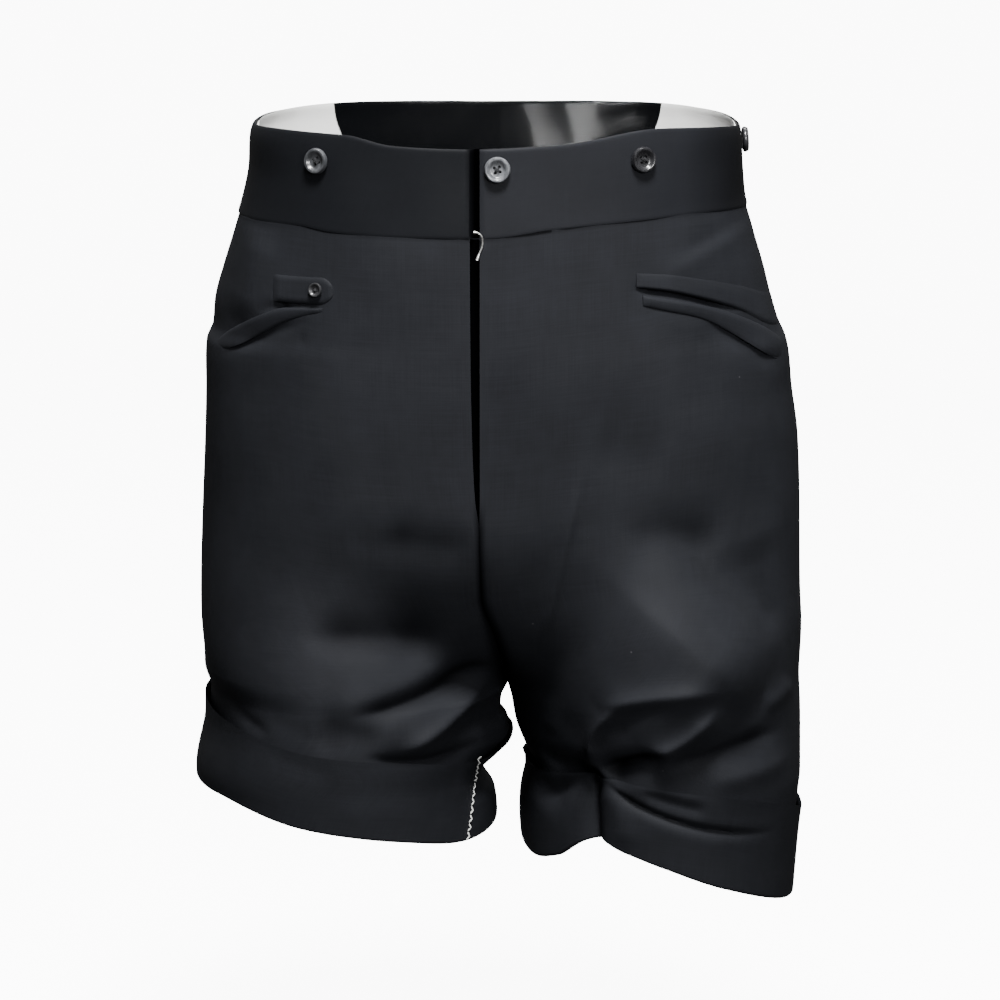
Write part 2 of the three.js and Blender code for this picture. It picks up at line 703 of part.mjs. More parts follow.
function flyUnderlap() {
  const [right, left] = [-31, 15];
  const sunk = -(FLY[0].sink + CLOTH + GAP);
  const rows = spread(waistSeam(0) - 2 * GAP, FLY_END, 14).map((z) =>
    spread(right, left, 4).map((x) => moved(onTrunk(turnOfX(x, z), z), sunk)));
  return wall('fly_underlap', rows, CLOTH, BODY_CLOTH);
}

// ---------------------------------------------------------------- pockets

const PATCH = 1.2; // wall of the small pocket pieces
const CHORD = 0.35; // a panel's straight cells stand this far inside its curve at most
const shooter = new THREE.Raycaster();

// A place just off a front panel's own facets, by how far across and how high.
function onPanel(front, x, z) {
  const half = x < 0 ? 'right' : 'left';
  let [low, high] = [0, 1];
  for (let i = 0; i < 24; i += 1) {
    const middle = (low + high) / 2;
    const inside = SIGN[half] * (plainPoint(half, 'front', middle, z).x - x) < 0;
    [low, high] = inside ? [middle, high] : [low, middle];
  }
  const at = place(half, 'front', low, z);
  shooter.set(moved(at, 20).point, at.normal.clone().negate());
  const [hit] = shooter.intersectObject(front);
  return moved({ point: hit.point, normal: at.normal }, CHORD + GAP + PATCH);
}

function patch(name, front, table, cells) {
  const top = column(table, 'x', 'top');
  const bottom = column(table, 'x', 'bottom');
  const xs = spread(table[0].x, table[table.length - 1].x, cells);
  const rows = spread(0, 1, 3).map((t) => xs.map((x) => onPanel(front, x, lerp(top(x), bottom(x), t))));
  return wall(name, rows, PATCH, BODY_CLOTH);
}

// A small buttoned tab with a round inner end, on the right pocket.
function pocketTab(front) {
  const radius = TAB.width / 2;
  const centre = TAB.inner - radius;
  const xs = [...spread(TAB.outer, centre, 4), ...spread(0, Math.PI / 2, 4).slice(1).map((angle) =>
    centre + radius * Math.sin(angle) * 0.985)];
  const rows = [-1, 0, 1].map((edge) => xs.map((x) => {
    const past = Math.max(0, x - centre) / radius;
    return onPanel(front, x, TAB.middle + edge * radius * Math.sqrt(1 - past * past));
  }));
  return wall('pocket_tab_right', rows, PATCH, BODY_CLOTH);
}

function pockets(right, left) {
  return [
    patch('pocket_welt_right', right, WELT_RIGHT, 10),
    patch('pocket_welt_left', left, WELT_LEFT, 18),
    patch('pocket_facing_left', left, FACING_LEFT, 12),
    pocketTab(right),
  ];
}

// ---------------------------------------------------------------- cuffs

// Once round a leg on the panels' columns, from a column of the front out to
// the side seam, round the back to the inner seam and along the front again.
function roundLeg(start) {
  const columns = (face) => spread(0, 1, CELLS[face].across).map((share) => ({ face, share }));
  const front = columns('front');
  const back = columns('back').reverse();
  return [...front.slice(start), ...back.slice(1, -1), ...front.slice(0, start + 1)];
}

// A cuff is an angle of cloth: a tall wall outside the leg and a short return
// under the leg's end. Its ends meet at the cuff's seam.
function cuff(half, seamColumn) {
  const sections = roundLeg(seamColumn).map(({ face, share }) => {
    const slack = cuffSlack[half][face](share);
    const at = (z, lift) => moved(place(half, face, share, z), lift).point;
    const levels = spread(0, 1, CUFF_ROWS).slice(0, -1).map((level, i) => ({
      z: rowHeight(half, face, share, CELLS[face].down - CUFF_ROWS + i),
      off: CUFF_EASE + slack * (1 - level),
    }));
    const hem = hemZ[half][face](share);
    return [
      ...levels.map(({ z, off }) => at(z, off + CLOTH)),
      at(hem, CUFF_EASE + CLOTH),
      at(hem, CUFF_EASE),
      at(hem, -CLOTH),
      at(hem + CLOTH, -CLOTH),
      at(hem + CLOTH, CUFF_EASE),
      ...levels.reverse().map(({ z, off }) => at(z, off)),
    ];
  });
  // part the two ends by the seam gap, along the ring
  const [first, last] = [sections[0], sections[sections.length - 1]];
  const apart = (section, next) => section.map((point, k) =>
    point.clone().lerp(next[k], GAP / point.distanceTo(next[k])));
  sections[0] = apart(first, sections[1]);
  sections[sections.length - 1] = apart(last, sections[sections.length - 2]);
  // the flat ends, as quads of the section's eleven corners
  const ends = [[0, 1, 9, 10], [1, 2, 8, 9], [2, 3, 7, 8], [3, 4, 7, 7], [4, 5, 6, 7]];
  return strip(`cuff_${half}`, sections, ends, BODY_CLOTH);
}

// ---------------------------------------------------------------- buttons

function button(name, at, diameter, material) {
  const radius = diameter / 2;
  const profile = [
    [0, 0],
    [radius * 0.8, 0],
    [radius, radius * 0.12],
    [radius, radius * 0.3],
    [radius * 0.84, radius * 0.42],
    [radius * 0.62, radius * 0.26],
    [0, radius * 0.24],
  ].map(([r, y]) => new THREE.Vector2(r, y));
  const mesh = new THREE.Mesh(new THREE.LatheGeometry(profile, 20), material);
  mesh.name = name;
  mesh.position.copy(at.point).addScaledVector(at.normal, GAP);
  mesh.quaternion.setFromUnitVectors(new THREE.Vector3(0, 1, 0), at.normal);
  return mesh;
}

// A flat button on a curved band rests on the band where it bulges most.
const onBand = (turn, z) => moved(onTrunk(turn, z), BAND_PROUD + 0.15);

function buttons(right) {
  return [
    button('button_centre', onBand(turnOfX(-2, 8), 8), BUTTON, GREY_HORN),
    button('button_brace_right', onBand(turnOfX(-110.8, 11), 11), BUTTON, GREY_HORN),
    button('button_brace_left', onBand(turnOfX(85.9, 12.5), 12.5), BUTTON, DARK_HORN),
    button('button_side_right', onBand(-1.3, 12), BUTTON, DARK_HORN),
    button('button_side_left', onBand(1.04, 14), BUTTON, DARK_HORN),
    button('button_pocket', moved(onPanel(right, -111.6, -66.8), 0.1), POCKET_BUTTON, GREY_HORN),
  ];
}

// ---------------------------------------------------------------- hook

// A bent wire hook that hangs from the waist seam at the top of the fly.
function hook() {
  const radius = 0.7;
  const standOff = FLY[0].roll + GAP + radius;
  const bends = [
    [-15.4, -31.2, 1.2], [-12.4, -32.6, 1.2], [-10.9, -35.2, 0.6],
    [-11.4, -38.6, 0.2], [-12.0, -43.0, 0], [-12.9, -47.4, 0.2],
  ];
  const path = new THREE.CatmullRomCurve3(bends.map(([x, z, out]) => {
    const at = onTrunk(turnOfX(x, z), z);
    return moved(at, standOff + out).point;
  }));
  const section = new THREE.Shape(new THREE.Path().absarc(0, 0, radius, 0, 2 * Math.PI)
    .getSpacedPoints(6).slice(0, 6));
  const geometry = new THREE.ExtrudeGeometry(section, { steps: 18, extrudePath: path });
  const mesh = new THREE.Mesh(geometry, WIRE);
  mesh.name = 'hook';
  return mesh;
}

// ---------------------------------------------------------------- the shorts

const RIGHT_CUFF_SEAM = 3; // the column where the right cuff's seam lies, in front
const LEFT_CUFF_SEAM = 0;

const shorts = new THREE.Group();
const [frontRight, frontLeft] = HALVES.map((half) => panel(half, 'front'));
shorts.add(frontRight, frontLeft, ...HALVES.map((half) => panel(half, 'back')));
shorts.add(...waistband(), ...linings(), flyUnderlap(), ...pockets(frontRight, frontLeft));
shorts.add(cuff('right', RIGHT_CUFF_SEAM), cuff('left', LEFT_CUFF_SEAM));
shorts.add(...buttons(frontRight), hook());

export default shorts;
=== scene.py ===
# %% [markdown]
# # A pair of high-waisted shorts with turned-up cuffs
#
# Black dress trousers were cut off above the knee and their hems turned up. The
# shorts stand filled out, as if worn, with nobody in them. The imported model
# gives every piece its place and size. This script dresses it: each solid is
# replaced by a finer shell of cloth on the same form, with creases, stitches
# and woven materials. It works in millimetres and turns them into metres only
# where a mesh is made.

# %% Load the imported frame
import math

import bpy
import numpy as np
from mathutils import Matrix, Vector


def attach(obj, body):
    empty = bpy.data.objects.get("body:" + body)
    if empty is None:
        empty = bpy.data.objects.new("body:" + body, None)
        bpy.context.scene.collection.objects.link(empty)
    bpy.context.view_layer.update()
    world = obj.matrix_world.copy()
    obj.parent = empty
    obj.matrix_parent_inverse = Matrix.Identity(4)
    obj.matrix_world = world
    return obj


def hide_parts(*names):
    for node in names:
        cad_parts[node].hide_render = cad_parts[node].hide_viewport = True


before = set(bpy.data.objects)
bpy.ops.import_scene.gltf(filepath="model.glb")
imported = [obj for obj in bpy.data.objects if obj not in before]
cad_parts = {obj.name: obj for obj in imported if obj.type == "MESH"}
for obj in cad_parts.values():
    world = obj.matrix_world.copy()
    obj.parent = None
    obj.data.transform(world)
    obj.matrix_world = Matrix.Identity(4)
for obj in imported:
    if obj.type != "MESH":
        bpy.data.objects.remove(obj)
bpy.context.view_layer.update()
MM = 0.001
print("pieces in the frame:", len(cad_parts))


def in_scene(name, data):
    """A new object at the origin that shows a mesh, a lamp, a curve or a camera."""
    obj = bpy.data.objects.new(name, data)
    bpy.context.scene.collection.objects.link(obj)
    return obj


# %% [markdown]
# ## Camera, light and floor
#
# A garment like this is shown from the front and a little above, from far away,
# so that its sides don't spread. A long lens does that. The light is soft and
# comes from above: cloth that is nearly black shows its folds only by what its
# slopes reflect, so the lamps are large. The floor and the wall behind are one
# white sweep. Real white paper would throw light back and flatten the folds, so
# this one is seen by the camera alone.

# %% Camera
AIM = Vector((0.0, 0.0, -0.213))
CAMERA_AWAY = 3.45
CAMERA_UP = math.radians(10)
VIEW_WIDTH = 0.63  # metres across the picture, at the aim

lens = bpy.data.cameras.new("camera")
lens.sensor_width = 36
lens.lens = lens.sensor_width * CAMERA_AWAY / VIEW_WIDTH
lens.shift_x = -0.0005
camera = in_scene("camera", lens)
camera.location = AIM + CAMERA_AWAY * Vector((0, -math.cos(CAMERA_UP), math.sin(CAMERA_UP)))
camera.rotation_euler = (math.pi / 2 - CAMERA_UP, 0, 0)
bpy.context.scene.camera = camera
print(f"lens {lens.lens:.0f} mm")


# %% Soft lamps
def lamp(name, place, power, size, aim=AIM):
    """A square lamp at a place, turned towards its aim."""
    light = bpy.data.lights.new(name, "AREA")
    light.energy = power
    light.size = size
    obj = in_scene(name, light)
    obj.location = place
    obj.rotation_euler = (aim - Vector(place)).to_track_quat("-Z", "Y").to_euler()
    return obj


lamp("lamp_over", (0.12, -1.1, 2.0), 218, 0.6)
lamp("lamp_right", (1.0, -2.9, 0.8), 80, 0.8)
lamp("lamp_wall", (0.0, 1.2, 2.2), 150, 2.0, aim=Vector((0.0, 4.0, -0.2)))
print("lamps:", len(bpy.data.lights))


# %% Helpers for node trees
def add(tree, kind, values=(), **settings):
    """A node, its settings and its input values, where a value may be another node's output."""
    node = tree.nodes.new(kind)
    for name, value in settings.items():
        setattr(node, name, value)
    for key, value in dict(values).items():
        if isinstance(value, bpy.types.NodeSocket):
            tree.links.new(value, node.inputs[key])
        else:
            node.inputs[key].default_value = value
    return node


def maths(tree, operation, *values):
    """The result of one sum, in a material's tree or in a Geometry Nodes tree."""
    return add(tree, "ShaderNodeMath", dict(enumerate(values)), operation=operation).outputs[0]


def remap(tree, value, low, high, to_low=0.0, to_high=1.0):
    """A value that runs from to_low to to_high while the given one runs from low to high."""
    limits = {"From Min": low, "From Max": high, "To Min": to_low, "To Max": to_high}
    return add(tree, "ShaderNodeMapRange", {"Value": value, **limits}).outputs[0]


def blend(tree, factor, a, b, kind="MIX"):
    """A colour between two others."""
    mix = tree.nodes.new("ShaderNodeMix")
    mix.data_type = "RGBA"
    mix.blend_type = kind
    for socket, value in zip([mix.inputs[0], mix.inputs[6], mix.inputs[7]], [factor, a, b]):
        if isinstance(value, bpy.types.NodeSocket):
            tree.links.new(value, socket)
        else:
            socket.default_value = value
    return mix.outputs[2]


# %% A sky that is bright above and dim at the sides
world = bpy.data.worlds.new("studio")
world.use_nodes = True
sky = world.node_tree
SKY_SEEN = 2.0  # its strength where the camera looks straight at it
sky_where = add(sky, "ShaderNodeTexCoord").outputs["Generated"]
sky_height = add(sky, "ShaderNodeSeparateXYZ", {0: sky_where}).outputs["Z"]
sky_ramp = remap(sky, sky_height, -0.2, 0.9, 0.08, 0.65)
sky_looked_at = add(sky, "ShaderNodeLightPath").outputs["Is Camera Ray"]
sky_strength = add(sky, "ShaderNodeMix", {0: sky_looked_at, 2: sky_ramp, 3: SKY_SEEN}).outputs[0]
sky.links.new(sky_strength, sky.nodes["Background"].inputs["Strength"])
sky.nodes["Background"].inputs["Color"].default_value = (1, 1, 1, 1)
bpy.context.scene.world = world
print("sky nodes:", len(sky.nodes))

# %% Floor and wall in one sweep
FLOOR_Z = -0.62
WALL_Y = 4.0
WALL_TOP = 4.0
BEND = 1.0  # radius where the floor turns up into the wall
HALF_WIDTH = 6.0

bend = np.linspace(0, math.pi / 2, 13)[1:]
profile = [(-HALF_WIDTH, FLOOR_Z), (WALL_Y - BEND, FLOOR_Z)]
profile += [(WALL_Y - BEND + BEND * math.sin(a), FLOOR_Z + BEND * (1 - math.cos(a))) for a in bend]
profile += [(WALL_Y, WALL_TOP)]
sweep_points = [(x, y, z) for y, z in profile for x in (-HALF_WIDTH, HALF_WIDTH)]
sweep_faces = [(2 * i, 2 * i + 1, 2 * i + 3, 2 * i + 2) for i in range(len(profile) - 1)]
sweep_mesh = bpy.data.meshes.new("sweep")
sweep_mesh.from_pydata(sweep_points, [], sweep_faces)
for polygon in sweep_mesh.polygons:
    polygon.use_smooth = True
sweep = in_scene("sweep", sweep_mesh)
sweep.visible_diffuse = False
sweep.visible_glossy = False
print("sweep faces:", len(sweep_faces))

# %% [markdown]
# ## The garment's surface
#
# Trousers are flat panels sewn into tubes, and a body inside rounds them out.
# Modelling that by pushing points about gives lumps. It is easier to describe
# the filled-out form by rule: level sections, one rounded trunk above the fork
# and two leg rings below it, read from short tables. Every piece is then a
# patch of this one surface, so neighbours meet along their seams by themselves.


# %% Tables and smooth curves through them
def table(columns, *rows):
    """Rows of numbers as named columns, in order of the first one."""
    values = np.array(sorted(rows), dtype=float).T
    return dict(zip(columns.split(), values))


def curve(rows, name):
    """A smooth line through one column, with no overshoot between its points."""
    xs, ys = list(rows.values())[0], rows[name]
    runs = np.diff(xs)
    slopes = np.diff(ys) / runs
    tangents = np.concatenate([slopes[:1], np.zeros(len(ys) - 2), slopes[-1:]])
    for i in range(1, len(ys) - 1):
        if slopes[i - 1] * slopes[i] > 0:
            weight = runs[i - 1] + runs[i]
            tangents[i] = weight / (runs[i] / slopes[i - 1] + runs[i - 1] / slopes[i])

    def at(x):
        x = np.clip(x, xs[0], xs[-1])
        i = np.clip(np.searchsorted(xs, x, side="right") - 1, 0, len(runs) - 1)
        t = (x - xs[i]) / runs[i]
        rest = 1 - t
        return (
            ys[i] * (1 + 2 * t) * rest * rest
            + tangents[i] * runs[i] * t * rest * rest
            + ys[i + 1] * t * t * (3 - 2 * t)
            + tangents[i + 1] * runs[i] * t * t * (t - 1)
        )

    return at


def lerp(a, b, t):
    return a + (b - a) * t


def smooth(low, high, x):
    t = np.clip((x - low) / (high - low), 0, 1)
    return t * t * (3 - 2 * t)


# %% The sections
FORK_Z = -329  # where the two legs part
FORK_TOP = {"front": -205, "back": -170}
TRUNK_ROUND = 0.85
LEG_ROUND = 0.95

SIDE = table(
    "z right left",
    (30, -152.0, 147.0), (20, -155.2, 149.6), (0, -156.7, 150.6), (-16, -159.8, 151.8),
    (-39, -166.2, 158.1), (-62, -172.8, 164.6), (-85, -178.1, 169.9), (-99, -179.2, 174.2),
    (-110, -183.4, 179.2), (-139, -184.8, 182.9), (-170, -186.2, 187.0), (-223, -188.0, 188.8),
    (-290, -190.0, 189.8), (-315, -188.8, 190.0), (-331, -183.8, 190.0), (-345, -184.2, 190.2),
    (-384, -191.4, 190.6), (-396, -191.4, 189.4), (-412, -190.8, 187.6), (-465, -190.0, 184.6),
)
CENTRE = table(
    "z front back",
    (40, -12.6, 0), (-213, -12.6, 0), (-258, -11.6, 0.8), (-287, -3.0, 2.2), (-318, 3.0, 4.0),
    (FORK_Z, 4.6, 4.6),
)
INSEAM = table(
    "z right left",
    (FORK_Z, 4.6, 4.6), (-338, 0.2, 7.2), (-347, -0.8, 8.8), (-354, 4.2, 10.2), (-361, 4.8, 12.8),
    (-369, -2.0, 16.2), (-377, -11.4, 19.6), (-384, -14.4, 19.4), (-392, -11.6, 17.4),
    (-400, -6.0, 15.6), (-416, -4.0, 14.4), (-430, -6.0, 14.8),
)
# the same lines without their notches, for the front and the back of a leg
CALM = table(
    "z right left",
    (FORK_Z, 4.6, 4.6), (-350, 0.0, 9.6), (-384, -7.0, 15.6), (-430, -6.0, 14.8),
)
TRUNK_DEPTH = table(
    "z front back seam",
    (34, -103, 101, 0), (0, -105, 104, 0), (-27, -107, 108, 1), (-50, -109, 114, 3),
    (-85, -111, 122, 5), (-150, -113, 134, 8), (-213, -112, 137, 8), (-290, -110, 126, 8),
    (FORK_Z, -108, 119, 8), (-480, -104, 108, 4),
)
LEG_DEPTH = table(
    "z front back",
    (-200, -119, 138), (-290, -116, 132), (FORK_Z, -112, 124), (-360, -108, 115),
    (-400, -105, 110), (-470, -104, 107),
)
side_right, side_left = curve(SIDE, "right"), curve(SIDE, "left")
centre_front, centre_back = curve(CENTRE, "front"), curve(CENTRE, "back")
inseam_right, inseam_left = curve(INSEAM, "right"), curve(INSEAM, "left")
calm_right, calm_left = curve(CALM, "right"), curve(CALM, "left")
trunk_front, trunk_back = curve(TRUNK_DEPTH, "front"), curve(TRUNK_DEPTH, "back")
side_depth = curve(TRUNK_DEPTH, "seam")
leg_front, leg_back = curve(LEG_DEPTH, "front"), curve(LEG_DEPTH, "back")


def leg_share(back, share, z):
    """How much of a leg ring a place has, from 0 on the trunk to 1 below the fork."""
    top = np.where(back, FORK_TOP["back"], FORK_TOP["front"])
    down = np.maximum((top - z) / (top - FORK_Z), 0)
    room = 1 - down * down
    # round at the fork itself, and softer the further from the seam
    soft = 10 * np.clip(share - 0.03, 0, 0.2) ** 2
    room = np.clip((room + np.hypot(room, soft)) / 2, 0, 1)
    away = 1 - smooth(FORK_Z - 45, top + 10, z)
    return lerp(1 - np.sqrt(room), away, smooth(0, 0.35, share))


def section(left, back, share, z):
    """Points of the plain surface. share is 0 at the centre or inner leg seam, 1 at the side seam."""
    side = np.where(left, side_left(z), side_right(z))
    centre = np.where(back, centre_back(z), centre_front(z))
    inseam = np.where(left, inseam_left(z), inseam_right(z))
    calm = np.where(left, calm_left(z), calm_right(z))
    inner = np.where(z > FORK_Z, centre, lerp(inseam, calm, smooth(0.04, 0.22, share)))
    seam = side_depth(z)
    quarter = math.pi / 2 * share
    trunk_y = np.where(back, trunk_back(z), trunk_front(z))
    trunk_x = inner + (side - inner) * np.sin(quarter) ** TRUNK_ROUND
    trunk_y = seam + (trunk_y - seam) * np.abs(np.cos(quarter)) ** TRUNK_ROUND
    across = np.cos(math.pi * share)
    bulge = np.sign(across) * np.abs(across) ** LEG_ROUND
    leg_y = np.where(back, leg_back(z), leg_front(z))
    leg_x = (inner + side) / 2 - (side - inner) / 2 * bulge
    leg_y = seam + (leg_y - seam) * np.abs(np.sin(math.pi * share)) ** LEG_ROUND
    part = leg_share(back, share, z)
    return np.stack(np.broadcast_arrays(lerp(trunk_x, leg_x, part), lerp(trunk_y, leg_y, part), z), -1)


def unit(vectors):
    return vectors / np.maximum(np.linalg.norm(vectors, axis=-1, keepdims=True), 1e-9)


def quadrant(turn):
    """A turn of 0 is the fly edge, 1 the left side seam, 2 the centre back; the right is below 0."""
    away = np.abs(turn)
    back = away > 1
    return turn > 0, back, np.where(back, 2 - away, away)


def on_form(turn, z):
    """Plain points and the outward directions there."""
    turn, z = np.broadcast_arrays(np.asarray(turn, float), np.asarray(z, float))
    left, back, share = quadrant(turn)
    low, high = np.clip(share - 0.01, 0, 1), np.clip(share + 0.01, 0, 1)
    along = section(left, back, high, z) - section(left, back, low, z)
    up = section(left, back, share, z + 1) - section(left, back, share, z - 1)
    turned = np.where(left, 1, -1) * np.where(back, -1, 1)
    return section(left, back, share, z), unit(np.cross(along, up) * turned[..., None])


widest = on_form(np.linspace(-2, 2, 81), -290.0)[0]
print("widest section, mm:", np.ptp(widest, axis=0).round(0))

# %% [markdown]
# ## Folds and creases
#
# The largest folds are the ones that the solids have too. They come from the
# legs being pulled up into tight cuffs: ridges that run to the fork on the
# right leg, and a star of them round the tack on the left cuff. A simulation
# would give folds, but not these. So each is one row: a line past three points,
# a width, a rise (below 0 a trough) and a lean, which makes one flank steeper,
# as in pressed wool. Finer rows, for this script alone, break up the soft ones.

# %% The fold tables
FRONT_FOLDS = table(
    "x0 z0 x1 z1 x2 z2 width rise lean",
    # right leg: troughs and ridges in turn, down to the cuff
    (-76, -214, -46, -222, -12, -222, 11, -2.0, 0),
    (-126, -282, -76, -281, -30, -291, 16, -5.0, -0.1),
    (-108, -324, -64, -316, -26, -293, 10, 2.4, 0.25),
    (-96, -331, -50, -320, 0, -303, 9, -7.2, 0),
    (-118, -336, -94, -340, -66, -346, 10, -2.8, 0),
    (-64, -356, -36, -338, -4, -313, 8, 5.0, 0.2),
    (-86, -355, -50, -361, -10, -357, 6, -3.6, 0),
    # left leg: shallow dents above
    (54, -158, 80, -166, 106, -172, 16, -1.3, 0),
    (70, -222, 106, -219, 142, -227, 13, -2.9, 0),
    (154, -222, 164, -256, 174, -292, 14, -2.4, 0),
    # the long ridge across the thigh, down to the leaf of folds
    (40, -216, 98, -275, 158, -336, 36, 18.0, 0.25),
    # the leaf of folds that runs out from the tack
    (58, -366, 60, -342, 78, -322, 4.5, 4.4, 0),
    (62, -327, 92, -318, 134, -315, 9, 5.0, 0.1),
    (84, -355, 110, -345, 132, -322, 8, 5.6, 0.2),
    (60, -366, 80, -358, 104, -352, 7, -9.5, 0.5),
    # beside it, to the side seam
    (98, -362, 138, -353, 182, -346, 9, -4.6, 0),
    (126, -373, 156, -370, 186, -366, 6.5, 2.0, 0.2),
    (160, -328, 173, -326, 184, -319, 6, 2.6, 0),
    (56.5, -362, 57.5, -392, 60, -440, 5.5, -7.0, 0),
    (60, -364, 43, -380, 22, -398, 9, -5.0, 0),
    (60, -368, 104, -394, 172, -410, 3.4, -3.2, 0.3),
    # the right hip turns away above the pocket's end
    (-146, -30, -152, -62, -162, -94, 9, 2.2, 0),
)
BACK_FOLDS = table(
    "x0 z0 x1 z1 x2 z2 width rise lean",
    (-120, -276, -78, -262, -22, -300, 15, -5, -0.2),
    (-104, -306, -66, -288, -16, -318, 12, 4, 0.2),
    (-92, -336, -58, -326, -20, -346, 10, -4, 0),
    (24, -296, 76, -264, 132, -288, 15, -5, -0.2),
    (20, -322, 70, -292, 118, -318, 12, 4.5, 0.2),
    (26, -350, 66, -332, 120, -352, 11, -4, 0),
    (60, -380, 100, -372, 150, -386, 9, 3, 0),
    (-60, -110, -74, -160, -70, -210, 18, -2, 0),
    (58, -112, 76, -158, 74, -214, 18, -2, 0),
)
# on the sides the first of each pair is y, from front to back
RIGHT_FOLDS = table(
    "x0 z0 x1 z1 x2 z2 width rise lean",
    (-46, -296, 6, -306, 62, -290, 13, -1.2, 0),
)
LEFT_FOLDS = table(
    "x0 z0 x1 z1 x2 z2 width rise lean",
    (-60, -262, 0, -290, 56, -280, 14, 0.7, 0),
    (-52, -330, 4, -322, 60, -342, 12, -0.8, 0),
)
# finer ones, which only this script has
FRONT_CREASES = table(
    "x0 z0 x1 z1 x2 z2 width rise lean",
    # right leg
    (-30, -352, -18, -345, -4, -346, 4, -1.2, 0),
    (-150, -330, -120, -342, -92, -350, 7, -0.8, 0),
    (-176, -320, -160, -336, -140, -344, 4, -1.2, 0),
    (-96, -226, -72, -222, -48, -230, 8, -0.7, 0),
    # left leg
    (96, -62, 126, -46, 160, -34, 6, 1.0, 0),
    (104, -50, 134, -36, 166, -27, 5, -0.9, 0),
    (52, -166, 36, -238, 23, -297, 2.6, 1.5, 0),
    (72, -346, 84, -330, 108, -321, 4, -1.2, 0),
    (30, -342, 26, -356, 22, -368, 5, -0.9, 0),
    (56, -364, 40, -366, 18, -364, 5, -2.4, 0),
)
BACK_CREASES = table(
    "x0 z0 x1 z1 x2 z2 width rise lean",
    (-96, -286, -64, -276, -34, -296, 5, -1.0, 0),
    (-70, -318, -48, -312, -20, -328, 4.5, 1.0, 0),
    (30, -306, 62, -286, 104, -298, 5, -1.1, 0),
    (34, -338, 60, -322, 96, -332, 4.5, 1.0, 0),
    (-28, -196, -12, -206, 20, -200, 7, -1.2, 0),
    (-24, -226, 4, -236, 34, -224, 7, -1.3, 0),
)
# where the cuffs alone crease
CUFF_CREASES = table(
    "x0 z0 x1 z1 x2 z2 width rise lean",
    (64, -372, 74, -392, 80, -420, 8, 1.8, 0),
    (70, -369, 98, -377, 134, -384, 5, 0.8, 0.3),
    (84, -376, 108, -384, 128, -390, 3.2, -1.8, 0),
    (72, -380, 112, -401, 168, -411, 7, 0.7, -0.2),
    (-150, -352, -120, -362, -96, -366, 7, -0.9, 0),
    (-110, -384, -80, -392, -40, -394, 12, 0.9, 0),
)


# %% How high the folds stand at a place
FOLD_GAIN = 1.2
FOLD_STEPS = 10  # straight bits that a fold's line is measured along
FOLD_TAPER = 0.3  # share of its length over which a fold dies away
FIRM_RISE = 3  # folds higher than this are firm along their line
TENT_WIDTH = 20  # and those wider than this have flat flanks, like a tent


def fold_line(row):
    """Points along a bend that passes the fold's middle point."""
    a, via, b = (np.array([row[f"x{i}"], row[f"z{i}"]]) for i in range(3))
    bend = 2 * via - (a + b) / 2
    t = np.linspace(0, 1, FOLD_STEPS + 1)[:, None]
    return a * (1 - t) ** 2 + 2 * bend * t * (1 - t) + b * t * t


def fold_shape(across, rise, wide):
    """A fold's height, 1 on its line, at so many widths across it."""
    if wide:
        left_over = 1 - (np.sqrt(across**2 + 0.02) - 0.14) / 1.7
        return (left_over + np.sqrt(left_over**2 + 0.01)) / 2
    firm = 0.3 if abs(rise) > FIRM_RISE else 1.0
    return np.exp(-1.5 * (np.sqrt(across**2 + firm**2) - firm))


def rise_of(folds, x, z):
    """The height of all the folds of a table at flat places (x, z)."""
    total = np.zeros_like(x)
    for k in range(len(folds["x0"])):
        row = {name: values[k] for name, values in folds.items()}
        line = fold_line(row)
        best, along, side = np.full_like(x, 1e9), np.zeros_like(x), np.zeros_like(x)
        for i in range(FOLD_STEPS):
            run = line[i + 1] - line[i]
            dx, dz = x - line[i][0], z - line[i][1]
            t = np.clip((dx * run[0] + dz * run[1]) / (run @ run), 0, 1)
            off = np.hypot(dx - run[0] * t, dz - run[1] * t)
            nearer = off < best
            best = np.where(nearer, off, best)
            along = np.where(nearer, (i + t) / FOLD_STEPS, along)
            side = np.where(nearer, np.sign(dx * run[1] - dz * run[0]), side)
        across = best / row["width"] / (1 + row["lean"] * side)
        wide = row["width"] > TENT_WIDTH
        shape = fold_shape(across, row["rise"], wide)
        begin = 2 * FOLD_TAPER if wide else FOLD_TAPER
        ends = smooth(0, begin, along) * smooth(0, FOLD_TAPER, 1 - along)
        total += FOLD_GAIN * row["rise"] * shape * ends
    return total


def all_folds(left, back, points, normals, cuff=False):
    """What the folds add to points of the plain surface, along their outward directions."""
    x, y, z = points[..., 0], points[..., 1], points[..., 2]
    facing = np.clip(np.where(back, 1, -1) * normals[..., 1] * 1.5, 0, 1)
    sideways = np.clip(np.where(left, 1, -1) * normals[..., 0] * 1.5, 0, 1)
    front = rise_of(FRONT_FOLDS, x, z) + rise_of(FRONT_CREASES, x, z)
    if cuff:
        front += rise_of(CUFF_CREASES, x, z)
    behind = rise_of(BACK_FOLDS, x, z) + rise_of(BACK_CREASES, x, z)
    beside = np.where(left, rise_of(LEFT_FOLDS, y, z), rise_of(RIGHT_FOLDS, y, z))
    return np.where(back, behind, front) * facing + beside * sideways


# %% Slow unevenness that no pressed cloth is without
def uneven(points, size, height, seed, count=9):
    """A few long waves in random directions. Pieces with the same seed meet without a step."""
    waves = np.random.default_rng(seed)
    total = np.zeros(points.shape[:-1])
    for _ in range(count):
        direction = unit(waves.normal(size=3)) * 2 * math.pi / (size * waves.uniform(0.7, 1.5))
        total += np.sin(points @ direction + waves.uniform(0, 2 * math.pi))
    return height * total / math.sqrt(count)


